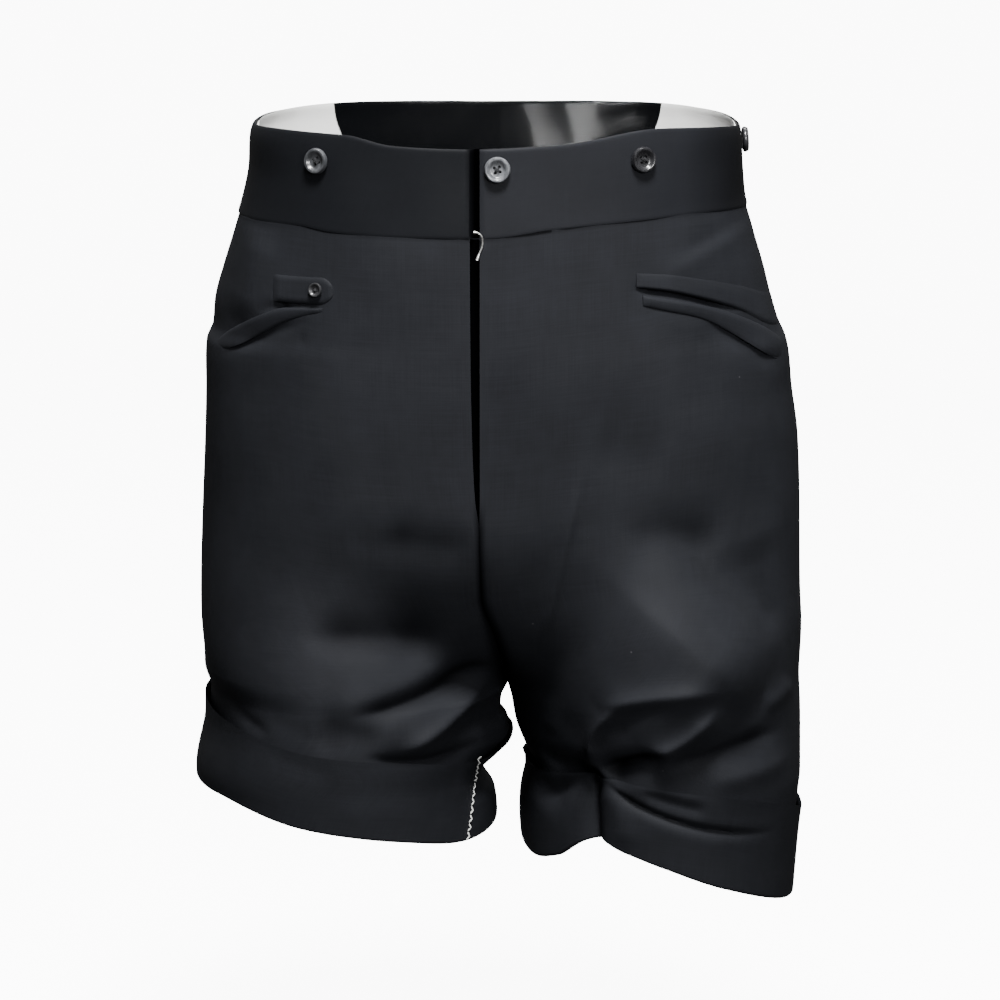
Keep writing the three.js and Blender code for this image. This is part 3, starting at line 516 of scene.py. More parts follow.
# %% [markdown]
# ## Materials
#
# Four things make dark dress cloth look like cloth: the twill's fine diagonal,
# slubs and streaks along the threads, dust and lint, and troughs that swallow
# the light. The dark of the troughs is painted shade: the colour goes to black
# there, and the reflection with it. The twill and the wear are shared by all the
# woven pieces, so they are node groups with their sizes as inputs. How much
# shade is painted at a place is worked out where the piece is made, from how
# deep it lies, so that comes with the mesh, as an attribute.


# %% Node groups with named sockets
def group(name, inputs, outputs):
    """An empty shader node group with its sockets."""
    tree = bpy.data.node_groups.new(name, "ShaderNodeTree")
    for label, kind, value in inputs:
        socket = tree.interface.new_socket(label, in_out="INPUT", socket_type=kind)
        if value is not None:
            socket.default_value = value
    for label, kind in outputs:
        tree.interface.new_socket(label, in_out="OUTPUT", socket_type=kind)
    return tree


# %% Weave: the diagonal of the twill, and slubs along warp and weft
def make_weave():
    tree = group(
        "weave",
        [
            ("Vector", "NodeSocketVector", None),
            ("Thread", "NodeSocketFloat", 0.0005),
            ("Slant", "NodeSocketFloat", 1.0),
            ("Streaks", "NodeSocketFloat", 0.5),
        ],
        [("Height", "NodeSocketFloat"), ("Streak", "NodeSocketFloat")],
    )
    put = add(tree, "NodeGroupInput")
    out = add(tree, "NodeGroupOutput")
    parts = add(tree, "ShaderNodeSeparateXYZ", {0: put.outputs["Vector"]})
    turns = maths(tree, "DIVIDE", 2 * math.pi, put.outputs["Thread"])
    across = maths(tree, "MULTIPLY", parts.outputs["X"], turns)
    down = maths(tree, "MULTIPLY", parts.outputs["Y"], turns)
    slanted = maths(tree, "MULTIPLY", across, put.outputs["Slant"])
    threads = {"Vector": put.outputs["Vector"], "Scale": 160.0, "Detail": 2.0}
    wander = add(tree, "ShaderNodeTexNoise", threads).outputs["Fac"]
    phase = maths(tree, "ADD", down, maths(tree, "MULTIPLY", wander, 14.0))
    twill = maths(tree, "SINE", maths(tree, "ADD", slanted, phase))
    warp = maths(tree, "SINE", maths(tree, "MULTIPLY", across, 2.0))
    height = maths(tree, "ADD", twill, maths(tree, "MULTIPLY", warp, 0.4))
    tree.links.new(remap(tree, height, -1.4, 1.4), out.inputs["Height"])
    streaks = []
    for x_scale, y_scale in ((1400.0, 28.0), (24.0, 1100.0)):
        stretch = {0: put.outputs["Vector"], 1: (x_scale, y_scale, 1.0)}
        scaled = add(tree, "ShaderNodeVectorMath", stretch, operation="MULTIPLY")
        slubs = {"Vector": scaled.outputs[0], "Scale": 1.0, "Detail": 2.0}
        streaks.append(add(tree, "ShaderNodeTexNoise", slubs).outputs["Fac"])
    both = maths(tree, "SUBTRACT", maths(tree, "ADD", *streaks), 1.0)
    tree.links.new(maths(tree, "MULTIPLY", both, put.outputs["Streaks"]), out.inputs["Streak"])
    return tree


# %% Wear: soft blotches from pressing and handling, and specks of lint
def make_wear():
    tree = group(
        "wear",
        [("Blotch", "NodeSocketFloat", 0.3), ("Lint", "NodeSocketFloat", 0.3)],
        [("Tone", "NodeSocketFloat"), ("Lint", "NodeSocketFloat")],
    )
    put = add(tree, "NodeGroupInput")
    out = add(tree, "NodeGroupOutput")
    where = add(tree, "ShaderNodeTexCoord").outputs["Object"]
    clouds = {"Vector": where, "Scale": 16.0, "Detail": 4.0, "Roughness": 0.6}
    large = add(tree, "ShaderNodeTexNoise", clouds).outputs["Fac"]
    tone = maths(tree, "MULTIPLY", remap(tree, large, 0.3, 0.7, -1.0, 1.0), put.outputs["Blotch"])
    tree.links.new(tone, out.inputs["Tone"])
    specks = add(tree, "ShaderNodeTexVoronoi", {"Vector": where, "Scale": 150.0, "Randomness": 1.0})
    near = remap(tree, specks.outputs["Distance"], 0.05, 0.10, 1.0, 0.0)
    chance = add(tree, "ShaderNodeSeparateColor", {0: specks.outputs["Color"]}).outputs[0]
    rare = remap(tree, chance, 0.985, 0.99)
    lint = maths(tree, "MULTIPLY", maths(tree, "MULTIPLY", near, rare), put.outputs["Lint"])
    tree.links.new(lint, out.inputs["Lint"])
    return tree


WEAVE = make_weave()
WEAR = make_wear()
LINT = (0.07, 0.07, 0.075, 1)
PAINTED_SHADE_BLACK = (0, 0, 0, 1)
print("node groups:", len(bpy.data.node_groups))


# %% Every woven material is built by one function
def grey(tree, value):
    return add(tree, "ShaderNodeCombineColor", {0: value, 1: value, 2: value}).outputs[0]


def ground_of(tree, color, weave, tone, painted_shade, shaded):
    """The dyed colour of a cloth, with painted shade: a little darker in its weave's grooves, lighter on
    its threads, and black where shade is painted.
    """
    dark = tuple(0.6 * part for part in color) + (1,)
    light = tuple(1.5 * part for part in color) + (1,)
    ground = blend(tree, remap(tree, tone, -1.0, 1.0), dark, light)
    # painted shade: the weave's grooves a little darker in colour and its threads lighter
    relief = grey(tree, remap(tree, weave.outputs["Height"], 0.0, 1.0, 0.82, 1.1))
    ground = blend(tree, 1.0, ground, relief, "MULTIPLY")
    # painted shade: the colour goes to black where shade is painted on the mesh
    ground = blend(tree, maths(tree, "MULTIPLY", painted_shade, 0.95), ground, PAINTED_SHADE_BLACK)
    if shaded:
        # painted shade: it gets darker between these two places, in metres along X, where the band turns
        # away from the light at the hip
        place = add(tree, "ShaderNodeTexCoord").outputs["Object"]
        hip = add(tree, "ShaderNodeSeparateXYZ", {0: place}).outputs["X"]
        ground = blend(tree, remap(tree, hip, *shaded, 0.0, 0.7), ground, PAINTED_SHADE_BLACK)
    return ground


def woven(name, color, thread, roughness, specular, streaks, blotch, lint=0.5, bump=0.25,
          slant=1.0, sheen=0.0, shaded=None):
    """Cloth whose threads follow the UV map, which is in metres along the piece."""
    material = bpy.data.materials.new(name)
    material.use_nodes = True
    tree = material.node_tree
    shader = tree.nodes["Principled BSDF"]
    uv = add(tree, "ShaderNodeUVMap", uv_map="cloth").outputs[0]
    threads = {"Vector": uv, "Thread": thread, "Slant": slant, "Streaks": streaks}
    weave = add(tree, "ShaderNodeGroup", threads, node_tree=WEAVE)
    wear = add(tree, "ShaderNodeGroup", {"Blotch": blotch, "Lint": lint}, node_tree=WEAR)
    tone = maths(tree, "ADD", weave.outputs["Streak"], wear.outputs["Tone"])
    painted_shade = add(tree, "ShaderNodeAttribute", attribute_name="painted_shade").outputs["Fac"]
    ground = ground_of(tree, color, weave, tone, painted_shade, shaded)
    tree.links.new(blend(tree, wear.outputs["Lint"], ground, LINT), shader.inputs["Base Color"])
    rough = remap(tree, tone, -1.0, 1.0, roughness - 0.08, roughness + 0.08)
    tree.links.new(rough, shader.inputs["Roughness"])
    # painted shade too: the reflection goes where the colour goes black
    shine = remap(tree, painted_shade, 0.0, 1.0, specular, 0.0)
    tree.links.new(shine, shader.inputs["Specular IOR Level"])
    shader.inputs["Sheen Weight"].default_value = sheen
    shader.inputs["Sheen Roughness"].default_value = 0.45
    relief = {"Strength": bump, "Distance": thread * 0.35, "Height": weave.outputs["Height"]}
    normal = add(tree, "ShaderNodeBump", relief)
    tree.links.new(normal.outputs[0], shader.inputs["Normal"])
    return material


# %% The garment's own cloths
body_cloth = woven(
    "body_cloth", (0.0105, 0.0111, 0.0132), thread=0.0008, roughness=0.58, specular=0.05,
    streaks=0.8, blotch=0.35,
)
# the band's cloth has painted shade at its left hip end
band_cloth = woven(
    "waistband_cloth", (0.0095, 0.0100, 0.0120), thread=0.0006, roughness=0.50, specular=0.06,
    streaks=0.35, blotch=0.12, shaded=(0.112, 0.15),
)
# the right half of the band is a darker copy of its cloth: painted shade, for the side that gets less
# light
shaded_band_cloth = woven(
    "waistband_cloth_shaded", (0.0054, 0.0058, 0.0070), thread=0.0006, roughness=0.50, specular=0.06,
    streaks=0.35, blotch=0.12,
)
satin = woven(
    "back_lining_satin", (0.0018, 0.0020, 0.0024), thread=0.0004, roughness=0.2, specular=0.4,
    streaks=0.3, blotch=0.1, lint=0.2, bump=0.12,
)
cotton = woven(
    "side_lining_cotton", (0.80, 0.80, 0.78), thread=0.0007, roughness=0.85, specular=0.25,
    streaks=0.12, blotch=0.08, lint=0.0, slant=0.0, sheen=0.15,
)
print("cloths:", len(bpy.data.materials))


# %% Horn, wire and thread
def plain_material(name, roughness, metallic=0.0, specular=0.5, coat=0.0):
    """A new material with its tree and its shader, for finishes that aren't woven."""
    material = bpy.data.materials.new(name)
    material.use_nodes = True
    shader = material.node_tree.nodes["Principled BSDF"]
    shader.inputs["Metallic"].default_value = metallic
    shader.inputs["Specular IOR Level"].default_value = specular
    shader.inputs["Coat Weight"].default_value = coat
    shader.inputs["Roughness"].default_value = roughness
    return material, material.node_tree, shader


def horn(name, dark, light, roughness):
    """Turned horn: long cloudy grain, polished, duller in its scratches."""
    material, tree, shader = plain_material(name, roughness, coat=0.4)
    where = add(tree, "ShaderNodeTexCoord").outputs["Object"]
    drawn = add(tree, "ShaderNodeMapping", {"Vector": where, "Scale": (1.0, 0.4, 0.25)})
    cloud = add(tree, "ShaderNodeTexNoise", {"Vector": drawn.outputs[0], "Scale": 420.0, "Detail": 3.0})
    grain = blend(tree, remap(tree, cloud.outputs["Fac"], 0.35, 0.7), dark, light)
    tree.links.new(grain, shader.inputs["Base Color"])
    scratches = add(tree, "ShaderNodeTexNoise", {"Vector": where, "Scale": 1500.0, "Detail": 2.0})
    rough = remap(tree, scratches.outputs["Fac"], 0.4, 0.8, roughness, roughness + 0.25)
    tree.links.new(rough, shader.inputs["Roughness"])
    return material


def thread_material(name, color):
    """Twisted thread: a fine spiral of light and dark round its length."""
    material, tree, shader = plain_material(name, 0.7, specular=0.3)
    where = add(tree, "ShaderNodeTexCoord").outputs["Object"]
    ply = add(tree, "ShaderNodeTexNoise", {"Vector": where, "Scale": 2600.0, "Detail": 1.0})
    dark = tuple(0.55 * part for part in color[:3]) + (1,)
    twisted = blend(tree, remap(tree, ply.outputs["Fac"], 0.35, 0.6), dark, color)
    tree.links.new(twisted, shader.inputs["Base Color"])
    return material


# one grey horn in three copies, lighter and darker: painted light and shade, each as bright as its button
# looks where it sits
grey_horn = horn("grey_button", (0.045, 0.047, 0.052, 1), (0.14, 0.145, 0.155, 1), 0.24)
shaded_grey_horn = horn("grey_button_shaded", (0.016, 0.017, 0.019, 1), (0.06, 0.062, 0.067, 1), 0.30)
deeply_shaded_grey_horn = horn("grey_button_deeply_shaded", (0.005, 0.005, 0.006, 1), (0.012, 0.012, 0.014, 1), 0.5)
dark_horn = horn("dark_button", (0.006, 0.006, 0.007, 1), (0.02, 0.02, 0.022, 1), 0.18)
white_thread = thread_material("white_thread", (0.62, 0.62, 0.60, 1))
black_thread = thread_material("black_thread", (0.02, 0.02, 0.022, 1))

wire_metal, wire_tree, wire_shader = plain_material("hook_wire", 0.32, metallic=0.85)
wire_where = add(wire_tree, "ShaderNodeTexCoord").outputs["Object"]
tarnish = add(wire_tree, "ShaderNodeTexNoise", {"Vector": wire_where, "Scale": 700.0, "Detail": 3.0})
wire_dull = remap(wire_tree, tarnish.outputs["Fac"], 0.4, 0.7)
wire_tone = blend(wire_tree, wire_dull, (0.75, 0.75, 0.73, 1), (0.3, 0.29, 0.27, 1))
wire_tree.links.new(wire_tone, wire_shader.inputs["Base Color"])

FLOOR_SEEN = 8.5  # the floor's glow where the camera looks at it, white in the picture
FLOOR_UNSEEN = 1.5  # and for all other rays: a strong glow there would leave the satin noisy
floor_paint, floor_tree, floor_shader = plain_material("pale_floor", 0.9, specular=0.2)
floor_where = add(floor_tree, "ShaderNodeTexCoord").outputs["Object"]
floor_cloud = add(floor_tree, "ShaderNodeTexNoise", {"Vector": floor_where, "Scale": 1.2})
floor_tone = blend(floor_tree, floor_cloud.outputs["Fac"], (0.93, 0.93, 0.93, 1), (0.95, 0.95, 0.95, 1))
floor_tree.links.new(floor_tone, floor_shader.inputs["Base Color"])
floor_shader.inputs["Emission Color"].default_value = (1, 1, 1, 1)
floor_looked_at = add(floor_tree, "ShaderNodeLightPath").outputs["Is Camera Ray"]
floor_glow = maths(floor_tree, "MULTIPLY_ADD", floor_looked_at, FLOOR_SEEN - FLOOR_UNSEEN, FLOOR_UNSEEN)
floor_tree.links.new(floor_glow, floor_shader.inputs["Emission Strength"])
sweep.data.materials.append(floor_paint)
print("materials:", len(bpy.data.materials))

# %% [markdown]
# ## Making a piece of cloth
#
# A piece is two grids of points, its outer and its inner side, joined round the
# edge. That is a closed shell of true thickness, which is what a cut and sewn
# piece is. Its UV map is measured along the cloth in metres, so the weave runs
# with the piece and keeps its size wherever the surface turns.


# %% Grids to meshes
def measured(grid):
    """Metres along a grid's rows and down its columns, as the cloth lies."""
    across = np.linalg.norm(np.diff(grid, axis=1), axis=-1)
    down = np.linalg.norm(np.diff(grid, axis=0), axis=-1)
    u = np.concatenate([np.zeros((len(grid), 1)), np.cumsum(across, axis=1)], axis=1)
    v = np.concatenate([np.zeros((1, grid.shape[1])), np.cumsum(down, axis=0)], axis=0)
    return u * MM, v * MM


def cloth_area(grid):
    """Square metres of a grid of points in millimetres."""
    a, b = grid[1:, 1:] - grid[:-1, :-1], grid[1:, :-1] - grid[:-1, 1:]
    return np.linalg.norm(np.cross(a, b), axis=-1).sum() / 2 * MM * MM


SHARP = math.radians(55)  # edges that turn by more than this stay crisp


def cloth_object(name, points, faces, uv, material, painted_shade=None):
    """A piece of cloth from points in millimetres, with its weave's map and the shade painted at each
    point.
    """
    mesh = bpy.data.meshes.new(name)
    mesh.from_pydata((points * MM).tolist(), [], faces)
    if painted_shade is not None:
        mesh.attributes.new("painted_shade", "FLOAT", "POINT").data.foreach_set("value", painted_shade)
    layer = mesh.uv_layers.new(name="cloth")
    corners = np.empty(len(mesh.loops), dtype=int)
    mesh.loops.foreach_get("vertex_index", corners)
    layer.data.foreach_set("uv", uv[corners].ravel())
    mesh.polygons.foreach_set("use_smooth", [True] * len(mesh.polygons))
    mesh.set_sharp_from_angle(angle=SHARP)
    mesh.materials.append(material)
    mesh.update()
    return in_scene(name, mesh)


def volume(points, faces):
    """Signed volume of a closed mesh of quads: below 0 it is inside out."""
    quads = points[np.array(faces)]
    one = np.einsum("ij,ij->i", quads[:, 0], np.cross(quads[:, 1], quads[:, 2]))
    two = np.einsum("ij,ij->i", quads[:, 0], np.cross(quads[:, 2], quads[:, 3]))
    return (one.sum() + two.sum()) / 6


def shell(name, outer, inner, material, painted_shade=None):
    """A closed wall of cloth from its outer and inner grids. Its painted shade is 1 where the cloth is
    painted black, as shade where no light gets in.
    """
    down, across = outer.shape[:2]
    index = np.arange(down * across).reshape(down, across)
    skin = np.stack([index[:-1, :-1], index[:-1, 1:], index[1:, 1:], index[1:, :-1]], -1).reshape(-1, 4)
    rim = np.concatenate([index[0, :-1], index[:-1, -1], index[-1, :0:-1], index[:0:-1, 0]])
    under = down * across
    edge = np.stack([np.roll(rim, -1), rim, rim + under, np.roll(rim, -1) + under], -1)
    faces = np.concatenate([skin, skin[:, ::-1] + under, edge])
    points = np.concatenate([outer.reshape(-1, 3), inner.reshape(-1, 3)])
    if volume(points, faces) < 0:
        faces = faces[:, ::-1]
    u, v = measured(outer)
    uv = np.tile(np.stack([u, v], -1).reshape(-1, 2), (2, 1))
    if painted_shade is not None:
        painted_shade = np.tile(np.broadcast_to(painted_shade, outer.shape[:2]).ravel(), 2).astype(np.float32)
    return cloth_object(name, points, faces.tolist(), uv, material, painted_shade)


def cut_size(grid):
    """Width and length of a piece laid flat, in metres, and its area."""
    u, v = measured(grid)
    return (float(u[:, -1].max()), float(v[-1].max())), float(cloth_area(grid))


cuts = {}  # what each piece measures, laid flat


def sewn(piece, node, grid):
    """Hides the node that a piece of cloth stands for, hangs the piece on the root and records how it was
    cut.
    """
    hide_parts(node)
    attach(piece, "root")
    flat, area = cut_size(grid)
    cuts[piece.name] = (*flat, area)


# %% [markdown]
# ## Fronts and backs
#
# Each leg and its half of the trunk is cut in one, front and back. The rows of
# a panel's grid run level at the side seam, and at the centre seam they spread
# round the fork curve, so no row is squeezed there. The cloth dips a little at
# every seam, where it is pressed open, and rolls at the folded fly edge.

# %% Where pieces begin and end
BAND_TOP = table(
    "turn z",
    (-2, 28.4), (-1.6, 29.4), (-1.2, 28), (-1, 26.8), (-0.6, 28.2), (-0.36, 27.6), (-0.2, 21.8),
    (0, 20.2), (0.13, 22), (0.43, 30.6), (0.7, 28.5), (1, 25.6), (1.2, 27.4), (1.6, 29.4), (2, 28.4),
)
WAIST_SEAM = table(
    "turn z",
    (-2, -26), (-1, -28.8), (-0.5, -28.7), (-0.36, -31.6), (0, -33.6), (0.13, -28.6), (0.4, -23.8),
    (0.55, -22.2), (1, -24.3), (2, -26),
)
HEM = {
    "right": table(
        "turn z",
        (0, -416), (0.16, -419.5), (0.39, -410.5), (0.57, -402), (0.81, -388.8), (1, -388),
        (1.5, -402), (2, -416),
    ),
    "left": table(
        "turn z",
        (0, -427), (0.13, -432), (0.225, -426), (0.34, -410.5), (0.42, -417.5), (0.635, -441),
        (0.93, -463), (1, -465), (1.5, -446), (2, -427),
    ),
}
CUFF_TOP = {
    "right": table(
        "turn z",
        (0, -362), (0.16, -367), (0.39, -359), (0.57, -354), (0.81, -340.5), (1, -334.6),
        (1.5, -348), (2, -362),
    ),
    "left": table(
        "turn z",
        (0, -372), (0.13, -375), (0.34, -370), (0.6, -380), (0.8, -394), (1, -408), (1.5, -390),
        (2, -372),
    ),
}
CUFF_SLACK = {
    "right": table("share slack", (0, 1.6), (0.5, 2.6), (1, 1.4)),
    "left": table("share slack", (0, 2.4), (0.33, 0.3), (0.6, 3.4), (1, 1.6)),
}
FLY = table(
    "z slit sink roll",
    (40, 6.2, 0.5, 0.8), (-110, 5.6, 0.5, 0.8), (-160, 4.6, 0.5, 0.8), (-196, 2.8, 0.5, 0.7),
    (-218, 0, 0.3, 0.5), (-240, 0, 0, 0.3), (-300, 0, 0, 0),
)
band_top, waist_seam = curve(BAND_TOP, "z"), curve(WAIST_SEAM, "z")
hem_z = {half: curve(HEM[half], "z") for half in HEM}
cuff_top_z = {half: curve(CUFF_TOP[half], "z") for half in CUFF_TOP}
cuff_slack = {half: curve(CUFF_SLACK[half], "slack") for half in CUFF_SLACK}
fly_slit, fly_sink, fly_roll = (curve(FLY, name) for name in ("slit", "sink", "roll"))

CLOTH = 1.6
GAP = 0.3
CUFF_EASE = 0.4
SIGN = {"right": -1, "left": 1}
HALVES = ("right", "left")


def share_of(half, distance, z):
    """The share at a distance from the centre seam, on the front of the trunk."""
    side = side_left(z) if half == "left" else side_right(z)
    reach = np.abs(side - centre_front(z))
    return 2 / math.pi * np.arcsin(np.clip(distance / reach, 0, 1) ** (1 / TRUNK_ROUND))


def turn_of_x(x, z):
    """The turn of a place on the front of the trunk."""
    off = x - centre_front(z)
    return np.where(off < 0, -share_of("right", np.abs(off), z), share_of("left", np.abs(off), z))


# %% Rows of a panel
CELLS = {"front": (150, 250), "back": (100, 170)}  # across, down
TUCKED = 4.5  # the panels run on under the waistband
HEM_SHARE = 0.11  # of the rows lie behind the cuff
FORK_SHARE = 0.2  # of the rows lie below the fork


def turn_from(half, face, share):
    """A turn that stays on its own half and face at the seams."""
    share = np.maximum(share, 1e-7)
    return SIGN[half] * (np.minimum(share, 1) if face == "front" else np.minimum(2 - share, 2 - 1e-9))


def row_height(half, face, share, down):
    """Height of a row, from 0 at the waist seam to 1 at the hem."""
    turn = SIGN[half] * (share if face == "front" else 2 - share)
    low = np.abs(turn)
    cuff_down, fork_down = 1 - HEM_SHARE, 1 - FORK_SHARE
    cuff_at = cuff_top_z[half]
    centre = 0.0 if face == "front" else 2.0
    top, top_in = waist_seam(turn) + TUCKED, waist_seam(SIGN[half] * centre) + TUCKED
    t = np.clip(down / cuff_down, 0, 1)
    level = lerp(top, cuff_at(low), t)
    fork_top = FORK_TOP[face]
    straight, curved = top_in - fork_top, 1.6 * (fork_top - FORK_Z)
    turn_down = fork_down * straight / (straight + curved)
    angle = math.pi / 2 * np.clip((down - turn_down) / (fork_down - turn_down), 0, 1)
    inner = np.where(
        down < turn_down,
        lerp(top_in, fork_top, down / turn_down),
        fork_top - (fork_top - FORK_Z) * np.sin(angle),
    )
    below = lerp(FORK_Z, cuff_at(centre), np.clip((down - fork_down) / (cuff_down - fork_down), 0, 1))
    inner = np.where(down < fork_down, inner, below)
    spread = (inner - lerp(top_in, cuff_at(centre), t)) * (1 - share) ** 2.5
    hidden = np.clip((down - cuff_down) / HEM_SHARE, 0, 1)
    behind_cuff = lerp(cuff_at(low), hem_z[half](low) + CLOTH + GAP, hidden)
    return np.where(down < cuff_down, level + spread, behind_cuff)


# %% The relief that isn't folds: seams, fly and pockets
SEAM_DIP = 0.7
SEAM_WIDTH = 2.6
SINK_WIDTH = 5
ROLL_WIDTH = 6
FLY_SEAM = 2.4  # how much deeper the seam below the fly is than the others
TUCK_DEPTH = 1.5  # how far a panel's top edge goes in under the band
TROUGH_PAINTED_BLACK = 9  # millimetres deep at which a trough is painted quite dark, as shade

POCKET_DIPS = table(
    "x0 z0 x1 z1 x2 z2 width rise lean",
    # left pocket: its mouth and the hollow under its welt
    (78, -66, 112, -70, 150, -86, 3.6, -3.6, 0),
    (122, -89, 150, -104, 178, -124, 5.5, -1.8, 0),
    (92, -84, 122, -93, 150, -112, 5, 0.5, 0),
    # right pocket
    (-104, -75, -128, -77, -150, -84, 2.6, -1.6, 0),
    (-114, -85, -146, -98, -178, -115, 3.2, -1.2, 0),
    (-133, -66, -134, -74, -134, -84, 2.6, -1.8, 0),
    (-121, -93, -121, -98, -121, -103, 1.6, -0.3, 0),
)


def seam_dip(distance):
    return -SEAM_DIP * np.exp(-((distance / SEAM_WIDTH) ** 2))


def fly_relief(half, points, from_centre):
    """The rolled edge on the left, the sunk edge on the right, and the closed seam below them."""
    z = points[..., 2]
    off = SIGN[half] * (points[..., 0] - centre_front(z))
    if half == "left":
        relief = fly_roll(z) * (1 - smooth(0, ROLL_WIDTH, off))
    else:
        relief = -fly_sink(z) * (1 - smooth(0, SINK_WIDTH, off - fly_slit(z)))
    closed = FLY_SEAM * seam_dip(from_centre) * smooth(-215, -245, z)
    return np.where(z > FORK_Z, relief, 0) + closed


def painted_shade_of(face, rise, over_seam, from_centre, z):
    """Shade painted at a place, for how little light reaches it: in troughs, under the band and along the
    closed fly.
    """
    painted_shade = np.clip(-rise / TROUGH_PAINTED_BLACK - 0.15, 0, 1) + 0.35 * smooth(-2.4, -0.2, over_seam)
    if face == "front":
        shaded = from_centre / lerp(1.8, 9, smooth(-240, -325, z))
        painted_shade += 0.9 * np.exp(-(shaded**2)) * smooth(-190, -215, z) * (z > FORK_Z)
    return painted_shade


def close_centre(half, face, z, grids):
    """Lets the edges of the centre seam run a little into each other, where it is sewn or closed."""
    shut = smooth(-190, -215, z) if face == "front" else np.ones(len(z))
    over = (0.35 + 0.7 * smooth(-305, -324, z)) * shut * (z > FORK_Z - 1)
    for grid in grids:
        grid[:, 0, 0] -= SIGN[half] * over


# %% A panel's grid
def panel_places(half, face):
    """The shares and heights of a panel's points. The right front starts beside the open fly."""
    across, down = CELLS[face]
    step = np.linspace(0, 1, down + 1)[:, None]
    start = np.zeros_like(step)
    if (half, face) == ("right", "front"):
        inner_z = row_height(half, face, start, step)
        slit = np.where(inner_z > FORK_Z, fly_slit(inner_z), 0)
        start = share_of(half, slit, inner_z)
    share = lerp(start, 1, np.linspace(0, 1, across + 1)[None, :])
    return share, row_height(half, face, share, step * np.ones_like(share))


def panel(half, face):
    """A front or back panel: its outer and inner points, and the shade painted at each."""
    share, z = panel_places(half, face)
    turn = turn_from(half, face, share)
    points, normals = on_form(turn, z)
    rise = all_folds(half == "left", face == "back", points, normals) + uneven(points, 75, 0.45, 1)
    u = np.cumsum(np.linalg.norm(np.diff(points, axis=1), axis=-1), axis=1)
    from_centre = np.concatenate([np.zeros((len(z), 1)), u], axis=1)
    rise += seam_dip(from_centre[:, -1:] - from_centre)
    if face == "front":
        rise += fly_relief(half, points, from_centre)
        rise += rise_of(POCKET_DIPS, points[..., 0], z)
    else:
        rise += seam_dip(from_centre)
    over_seam = z - waist_seam(turn)
    rise = lerp(rise, np.minimum(rise, 0.1), smooth(-8, -1, over_seam))
    tucked = smooth(0.5, 2.4, over_seam)
    rise = lerp(rise, -TUCK_DEPTH, tucked)
    outer = points + normals * rise[..., None]
    inner = outer - normals * lerp(CLOTH, 0.5, tucked)[..., None]
    close_centre(half, face, z[:, 0], (outer, inner))
    return outer, inner, painted_shade_of(face, rise, over_seam, from_centre, z)


# %% The four panels
for half in HALVES:
    for face in ("front", "back"):
        outer, inner, painted_shade = panel(half, face)
        piece = shell(f"cloth_{face}_{half}", outer, inner, body_cloth, painted_shade)
        sewn(piece, f"{face}_{half}", outer)
print("panels:", {name: tuple(round(v, 3) for v in cut) for name, cut in cuts.items()})

# %% [markdown]
# ## Waistband
#
# The band is a folded strip with canvas inside, sewn over the top of the
# panels. It is stiffer and smoother than they are. Its two folded edges are the
# detail that tells: they roll over instead of ending square. The left end laps
# over the fly as a tab, and the right end runs on under it.

# %% Bands on the trunk
BAND = 2.0
BAND_PROUD = 0.45
TAB_LEFT = 29.9
UNDERLAP_LEFT = 22
BAND_ROWS = 34
EDGE_ROLL = 0.7  # how far a folded edge turns in
EDGE_WIDTH = 2.6  # and over what width
GOES_UNDER = (6.4, 4.9)  # how far short of the centre line the right band begins to dip, and is down
UNDER_TAB = BAND + GAP + 5.5  # and how deep it then lies
TRENCH = (-19.4, -18.2, -9, -4)  # x where the painted shade of the slit starts and ends, each a soft edge
TAB_STEP = 1.0  # how far the left band lies behind the tab, beside it


def rolled(distance):
    """How far an edge that is folded over drops, by the distance from it."""
    near = np.clip(1 - distance / EDGE_WIDTH, 0, 1)
    return -EDGE_ROLL * (1 - np.sqrt(1 - near * near))


def band(turns, low, high, lift, thickness, rows=BAND_ROWS, roll_ends=(False, False)):
    """Outer and inner grids of a band between two heights that follow the turn."""
    t = (1 - np.cos(np.linspace(0, math.pi, rows + 1))) / 2
    t = lerp(np.linspace(0, 1, rows + 1), t, 0.6)[:, None]
    turns = np.asarray(turns)
    slanted = turns.ndim == 2
    turn = lerp(turns[0], turns[1], t) if slanted else np.broadcast_to(turns, (rows + 1, len(turns)))
    bottom, top = low(turn), high(turn)
    z = lerp(bottom, top, t)
    points, normals = on_form(turn, z)
    edge = np.minimum(rolled(top - z), 0.4 * rolled(z - bottom))
    u = np.linalg.norm(np.diff(points, axis=1), axis=-1).cumsum(axis=1)
    along = np.concatenate([np.zeros((rows + 1, 1)), u], axis=1)
    for rolls, off in zip(roll_ends, (along, along[:, -1:] - along)):
        if rolls:
            edge = np.minimum(edge, rolled(off))
    outer = points + normals * (lift(points, turn) + edge)[..., None]
    inner = points + normals * (lift(points, turn) - thickness - 0.35 * edge)[..., None]
    return outer, inner


# %% How high the bands lie
tab_end = float(turn_of_x(TAB_LEFT, 0))


def tab_lift(points, turn):
    return BAND_PROUD + uneven(points, 45, 0.25, 2)


def left_lift(points, turn):
    beside_tab = 1 - smooth(TAB_LEFT + 2, TAB_LEFT + 12, points[..., 0])
    return tab_lift(points, turn) - TAB_STEP * beside_tab * (turn > tab_end - 0.03) * (turn < 0.8)


def right_lift(points, turn):
    start, end = (centre_front(0) - off for off in GOES_UNDER)
    under = np.where(np.abs(turn) < 1, smooth(start, end, points[..., 0]), 0)
    return tab_lift(points, turn) - UNDER_TAB * under


def slit_shade(points):
    """Painted shade: 1 in the open slit in front, where the right band goes under the tab."""
    x, y = points[..., 0], points[..., 1]
    start, full, fading, end = TRENCH
    return smooth(start, full, x) * smooth(end, fading, x) * (y < 0)


